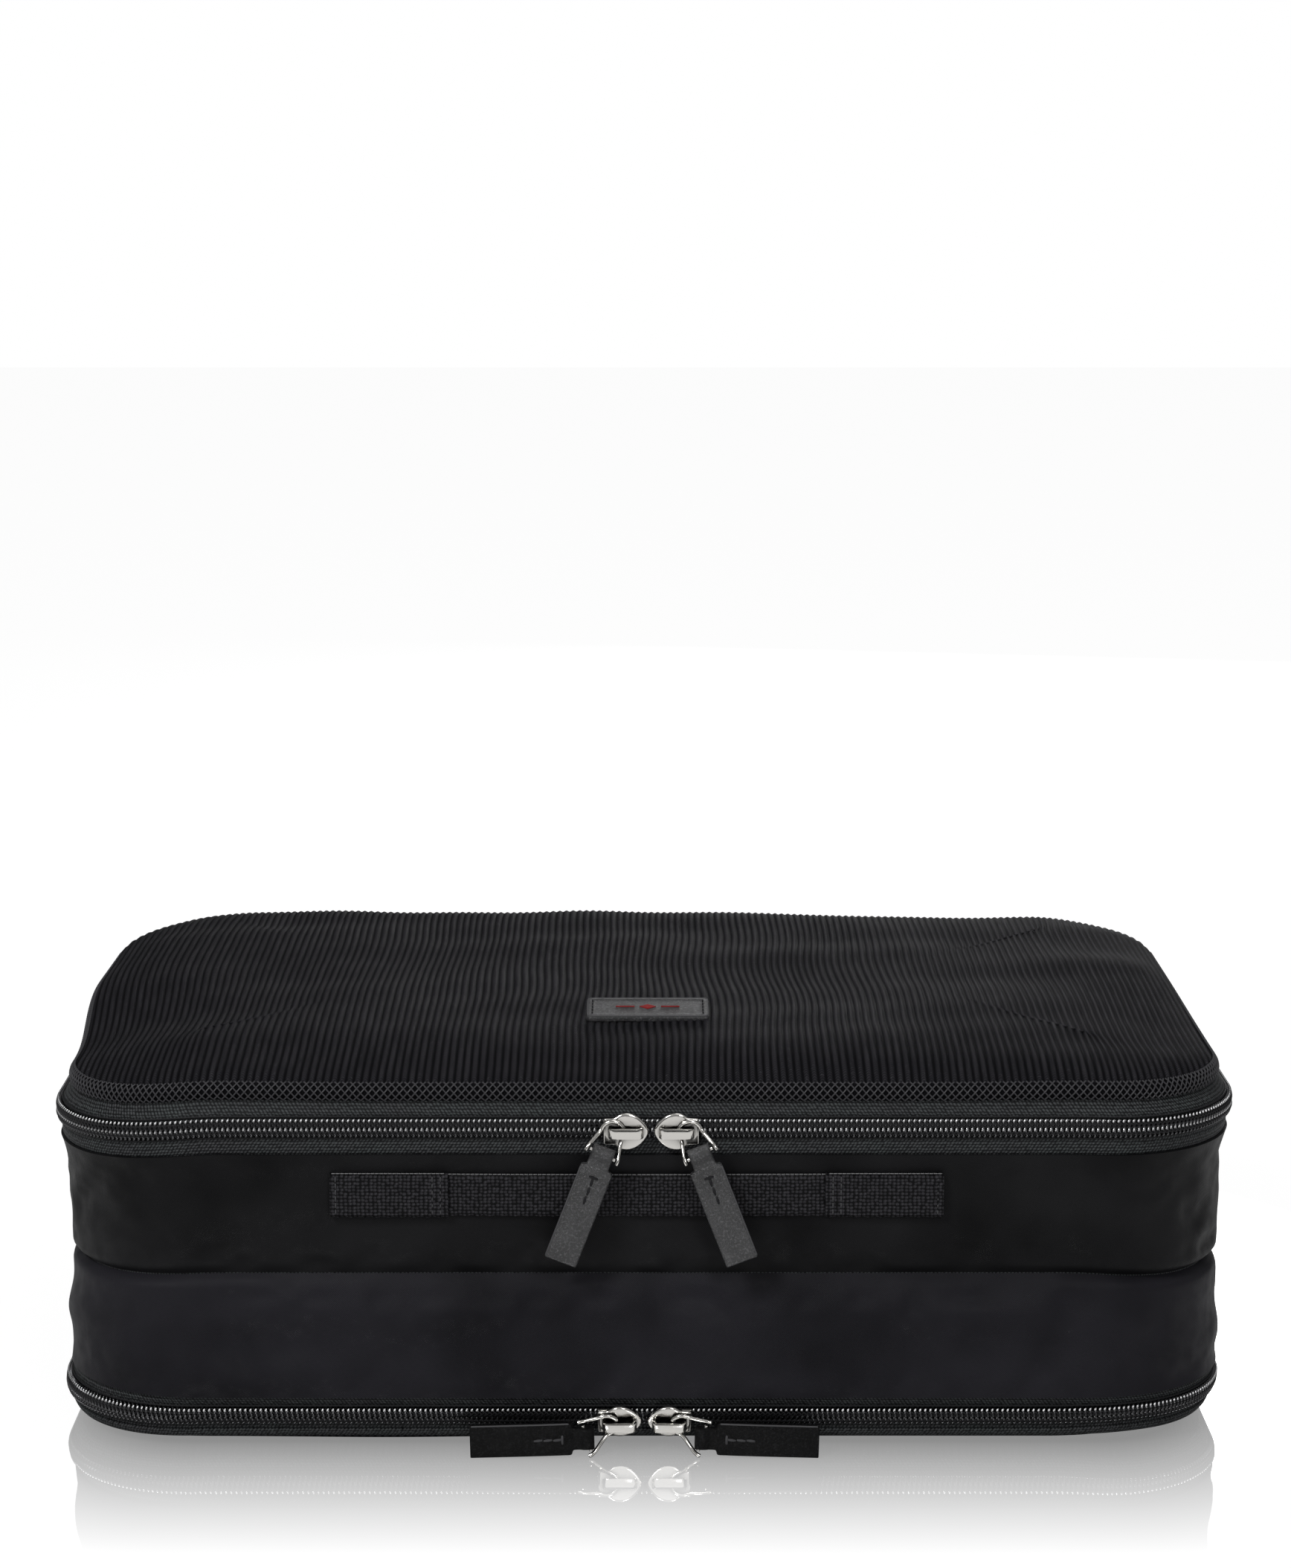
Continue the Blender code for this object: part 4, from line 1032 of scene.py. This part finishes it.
def build_slider(name, side, meet):
    """A slider with its plates and bridge, the loop that swings on it and the pull that flips on the loop."""
    band = TOP if name == "top" else BOTTOM
    swing, yaw, lean, rises = REST[name]
    facing = -side
    full = f"{name}_{'left' if side < 0 else 'right'}"
    x = meet + side * (0.9 * MM + 6.6 * MM)
    base = Matrix.Translation((x, -HALF_D + band.inset, band.z)) @ Matrix.Rotation(band.tilt, 4, "X")
    body, base_turned = full + "_slider", base @ Matrix.Diagonal((facing, 1, 1, 1))

    def on_face(u, v, w):
        return base_turned @ Vector((u, -w, v))

    def from_side(u, v, w):
        return base_turned @ Vector((u, -v, w))

    shape = plate_outline()
    levels = [(0.35, 2.85), (0, 3.05), (0, 3.7), (0.25, 4.0), (0.7, 4.12), (1.4, 4.10), (2.4, 4.22),
              (3.6, 4.3)]
    settle(stacked(full + "_plate", shape, levels, NICKEL, on_face), body, full + "_slider_body")
    levels = [(0.3, -1.2), (0, -1.4), (0, -1.9), (0.4, -2.2), (3, -2.2)]
    settle(stacked(full + "_back_plate", shape * (1, 0.6), levels, NICKEL, on_face), body)
    lip = [(-6.5, 3.55), (2.6, 3.55), (4.0, 3.2), (4.0, 2.9), (2.4, 3.15), (-6.5, 3.15)]
    lip = [(a, -band.lid_sign * (b + 0.55)) for a, b in lip]
    settle(slab(f"{full}_lip", lip, 2.3, 3.2, on_face, NICKEL, 0.12), body)
    half_arch = [(5.2, 4.15), (5.2, 5.6), (4.9, 6.5), (4.2, 7.1), (3.0, 7.3)]
    inner_arch = [(4.0, 4.15), (4.0, 5.4), (3.6, 6.0)]
    arch = [(-x, y) for x, y in half_arch] + half_arch[::-1] + inner_arch
    arch += [(-x, y) for x, y in inner_arch[::-1]]
    settle(slab(full + "_bridge", arch, -1.6, 1.6, from_side, NICKEL, 0.35), body, full + "_slider_bridge")

    ring = base @ Matrix.Translation((-facing * 3.9 * MM, -5.05 * MM, 0)) @ Matrix.Rotation(
        math.radians(-facing * swing), 4, "Y")
    line = [arm(k / 12, -1, rises) for k in range(12, 0, -1)]
    bend = np.linspace(-math.pi / 2, math.pi / 2, 17)
    line += [Vector((LOOP_R * math.cos(t), 0, LOOP_R * math.sin(t))) for t in bend]
    line += [arm(k / 12, 1, rises) for k in range(1, 13)]
    path = [ring @ Vector((facing * p.x, -p.y, p.z)) for p in line]
    path = [path[0] + (path[0] - path[1]).normalized() * 0.12 * MM, *path]
    path.append(path[-1] + (path[-1] - path[-2]).normalized() * 0.12 * MM)
    size = np.full(len(path), 0.62 * MM)
    size[[0, -1]] = 0.5 * MM
    wire = tubes(full + "_wire", np.array(path), size, NICKEL, 14, y_of(ring), rounded=False)
    settle(wire, full + "_loop", full + "_pull_loop")

    share = LOOP_REACH / (LOOP_REACH + OVERHANG)
    low_end, high_end = arm(share, -1, rises), arm(share, 1, rises)
    middle = (low_end + high_end) / 2
    twist = math.atan2(low_end.y - high_end.y, high_end.z - low_end.z)
    pin = ring @ Matrix.Translation((facing * middle.x, -middle.y, 0)) @ Matrix.Rotation(-twist, 4, "X")
    rod = np.array([pin @ Vector((0, 0, z * MM)) for z in (-4.1, 0, 4.1)])
    rod = tubes(full + "_rod", rod, 0.6 * MM, NICKEL, 12, y_of(pin), rounded=False)
    settle(rod, full + "_loop", full + "_pull_pin")
    flip = pin @ Matrix.Rotation(math.radians(facing * lean), 4, "Z")
    flip = flip @ Matrix.Rotation(math.radians(-facing * yaw), 4, "Y")
    # The lower pulls take the leather with painted shade.
    looks = (LEATHER, DARK_THREAD) if name == "top" else (SHADED_LEATHER, GREY_THREAD)
    build_pull(full, facing, flip, *looks)


def y_of(matrix):
    """A matrix's y direction, which lines up the cross-section of a tube."""
    return tuple(matrix.to_3x3() @ Vector((0, 1, 0)))


def build_pull(full, facing, flip, material, stitching):
    """Leather folded round the pin, glued and stitched: a narrow neck, then the full width."""

    def put(reach, out, across):
        return flip @ Vector((-facing * (reach * MM), -(out * MM), across * MM))

    sections = []  # reach from the pin, half thickness, half width, bend out
    for angle in np.radians([14, 38, 64, 90, 118, 146]):
        sections.append((-2.35 * math.cos(angle), 2.35 * math.sin(angle) * 0.98, 3.35, 0))
    sections += [(2.9, 1.22, 3.35, 0), (3.9, 1.2, 3.4, 0), (4.25, 1.22, 3.7, 0), (4.45, 1.25, 4.5, 0),
                 (4.8, 1.27, 4.9, 0)]
    for reach in np.linspace(5.6, 34.2, 20):
        seam = 0.07 * math.exp(-((reach - 7.2) / 0.5) ** 2)
        sections.append((reach, 1.27 - seam, 4.95, 0.18 * math.sin(reach / 9)))
    sections += [(34.75, 1.2, 4.93, 0.0), (35.0, 0.95, 4.8, 0.0)]
    rings = []
    for reach, thick, wide, bend in sections:
        section = rounded_rectangle(wide, thick, min(thick, wide) * 0.55, 4)
        rings.append([put(reach, out + bend, across) for across, out in section])
    p = np.array(rings)
    strap = add_mesh(full + "_strap", p, ring_faces(*p.shape[:2]), material)
    settle(strap, full + "_pull", full + "_pull_tab")
    ref = y_of(flip)
    # A grey tube along the strap's upper edge only: a painted highlight where the light from above catches
    # it.
    upper = 1 if put(20, 0, 4.9).z > put(20, 0, -4.9).z else -1
    edge = [put(a, 1.06 + 0.18 * math.sin(a / 9), upper * 4.78) for a in np.linspace(5.4, 34.4, 16)]
    settle(tubes(full + "_strap_edge_highlight", np.array(edge), 0.26 * MM, EDGE_HIGHLIGHT, ref=ref), full + "_pull")
    paths = []
    for a in (7.6 + 2.9 * k for k in range(3)):
        paths.append([put(a, 1.2, 0.1), put(a + 1.2, 1.46, 0), put(a + 2.3, 1.2, -0.1)])
    paths.append([put(7.3, 1.2, -1.2), put(7.3, 1.42, 0), put(7.3, 1.2, 1.2)])
    settle(tubes(full + "_strap_stitches", np.array(paths), 0.42 * MM, stitching, ref=ref), full + "_pull")


# ---- Stage ----
def area_light(name, place_at, size, power):
    """A square soft light that looks at the bag."""
    light = bpy.data.lights.new(name, "AREA")
    light.energy, light.size = power, size
    obj = bpy.data.objects.new(name, light)
    obj.location = place_at
    obj.rotation_euler = (Vector((0, 0, 0.05)) - Vector(place_at)).to_track_quat("-Z", "Y").to_euler()
    scene.collection.objects.link(obj)


def build_floor():
    """A white floor that mirrors the bag faintly, fading with the distance from it."""
    n = Material("pale_floor", (0.9, 0.9, 0.9), 0.6)
    position = n.node("ShaderNodeSeparateXYZ", {0: n.node("ShaderNodeNewGeometry").outputs["Position"]})
    squares = []
    for k, half in ((0, HALF_W), (1, HALF_D)):
        past = n.math("SUBTRACT", n.math("ABSOLUTE", position.outputs[k]), half - CORNER)
        squares.append(n.math("POWER", n.math("MAXIMUM", past, 0.0), 2.0))
    distance = n.math("SQRT", n.plus(*squares))
    fade = n.ramp(distance, CORNER - 12 * MM, CORNER + 78 * MM, 1.0, 0.0)
    mirror = n.node("ShaderNodeBsdfAnisotropic", {"Color": (1, 1, 1, 1), "Roughness": 0.0}).outputs[0]
    ray = n.node("ShaderNodeLightPath").outputs
    sheen = n.plus(0.25, n.times(ray["Is Glossy Ray"], 0.3))
    away = n.times(sheen, n.ramp(fade, 0, 1, 1.0, 0.0))
    unseen = n.times(n.math("SUBTRACT", 1.0, ray["Is Camera Ray"]), away)
    strength = n.plus(n.times(ray["Is Camera Ray"], 0.935), unseen)
    glow = n.node("ShaderNodeEmission", {"Color": (1, 1, 1, 1), "Strength": strength}).outputs[0]
    lit = n.node("ShaderNodeBsdfDiffuse", {"Color": (0.15, 0.15, 0.15, 1)}).outputs[0]
    pale = n.node("ShaderNodeAddShader", {0: glow, 1: lit}).outputs[0]
    both = n.node("ShaderNodeMixShader", {0: n.times(fade, 0.715), 1: pale, 2: mirror}).outputs[0]
    n.feed(n.tree.nodes["Material Output"].inputs["Surface"], both)
    corners = [(-6.0, -6.0, 0), (6.0, -6.0, 0), (6.0, 6.0, 0), (-6.0, 6.0, 0)]
    floor = add_mesh("floor", corners, [[0, 1, 2, 3]], n.mat, closed=False)
    floor.location.z = -0.05 * MM


def build_world():
    """White to the eye and in the floor. Everything else sees a dim room with a soft bright ceiling, and its
    reflections also a faint panel."""
    scene.view_settings.view_transform = "Standard"
    world = bpy.data.worlds.new("studio")
    scene.world = world
    world.use_nodes = True
    g = Graph(world.node_tree)
    ray = g.node("ShaderNodeLightPath").outputs
    coords = g.node("ShaderNodeTexCoord").outputs["Generated"]
    height = g.node("ShaderNodeSeparateXYZ", {0: coords}).outputs["Z"]
    room = g.ramp(height, 0.15, 0.8, 0.04, 0.3)
    white = g.math("MAXIMUM", ray["Is Camera Ray"], ray["Is Singular Ray"])
    panel = g.times(g.math("GREATER_THAN", height, 0.30), g.math("LESS_THAN", height, 0.50))
    panel = g.times(g.times(panel, ray["Is Glossy Ray"]), 0.3)
    back = world.node_tree.nodes["Background"].inputs
    back["Color"].default_value = (1, 1, 1, 1)
    g.feed(back["Strength"], g.math("MAXIMUM", g.math("MAXIMUM", white, room), panel))


def build_stage():
    build_floor()
    build_world()
    area_light("key", (-0.9, -1.3, 1.5), 0.45, 13)
    area_light("top", (0.3, 0.2, 1.9), 0.8, 3.5)
    area_light("back", (0.3, 1.6, 0.35), 0.6, 3)
    area_light("front", (0.5, -1.6, 1.1), 0.4, 5)
    lens = bpy.data.cameras.new("camera")
    lens.lens, lens.sensor_width, lens.sensor_fit = 79.3, 36.0, "AUTO"
    camera = bpy.data.objects.new("camera", lens)
    camera.location = (0.0003, -1.1023, 0.3775)
    camera.rotation_euler = (math.radians(90 - 9.92), 0, 0)
    scene.collection.objects.link(camera)
    scene.camera = camera


build_walls()
build_zip("top", TOP, (9.2, 9))
build_zip("bottom", BOTTOM, (7.5, 7.5))
build_top_lid()
build_bottom_lid()
build_divider()
build_hinges()
build_handle()
build_label()
for zip_name, meet_x in (("top", 2 * MM), ("bottom", 0.0)):
    for which in (-1, 1):
        build_slider(zip_name, which, meet_x)
build_stage()
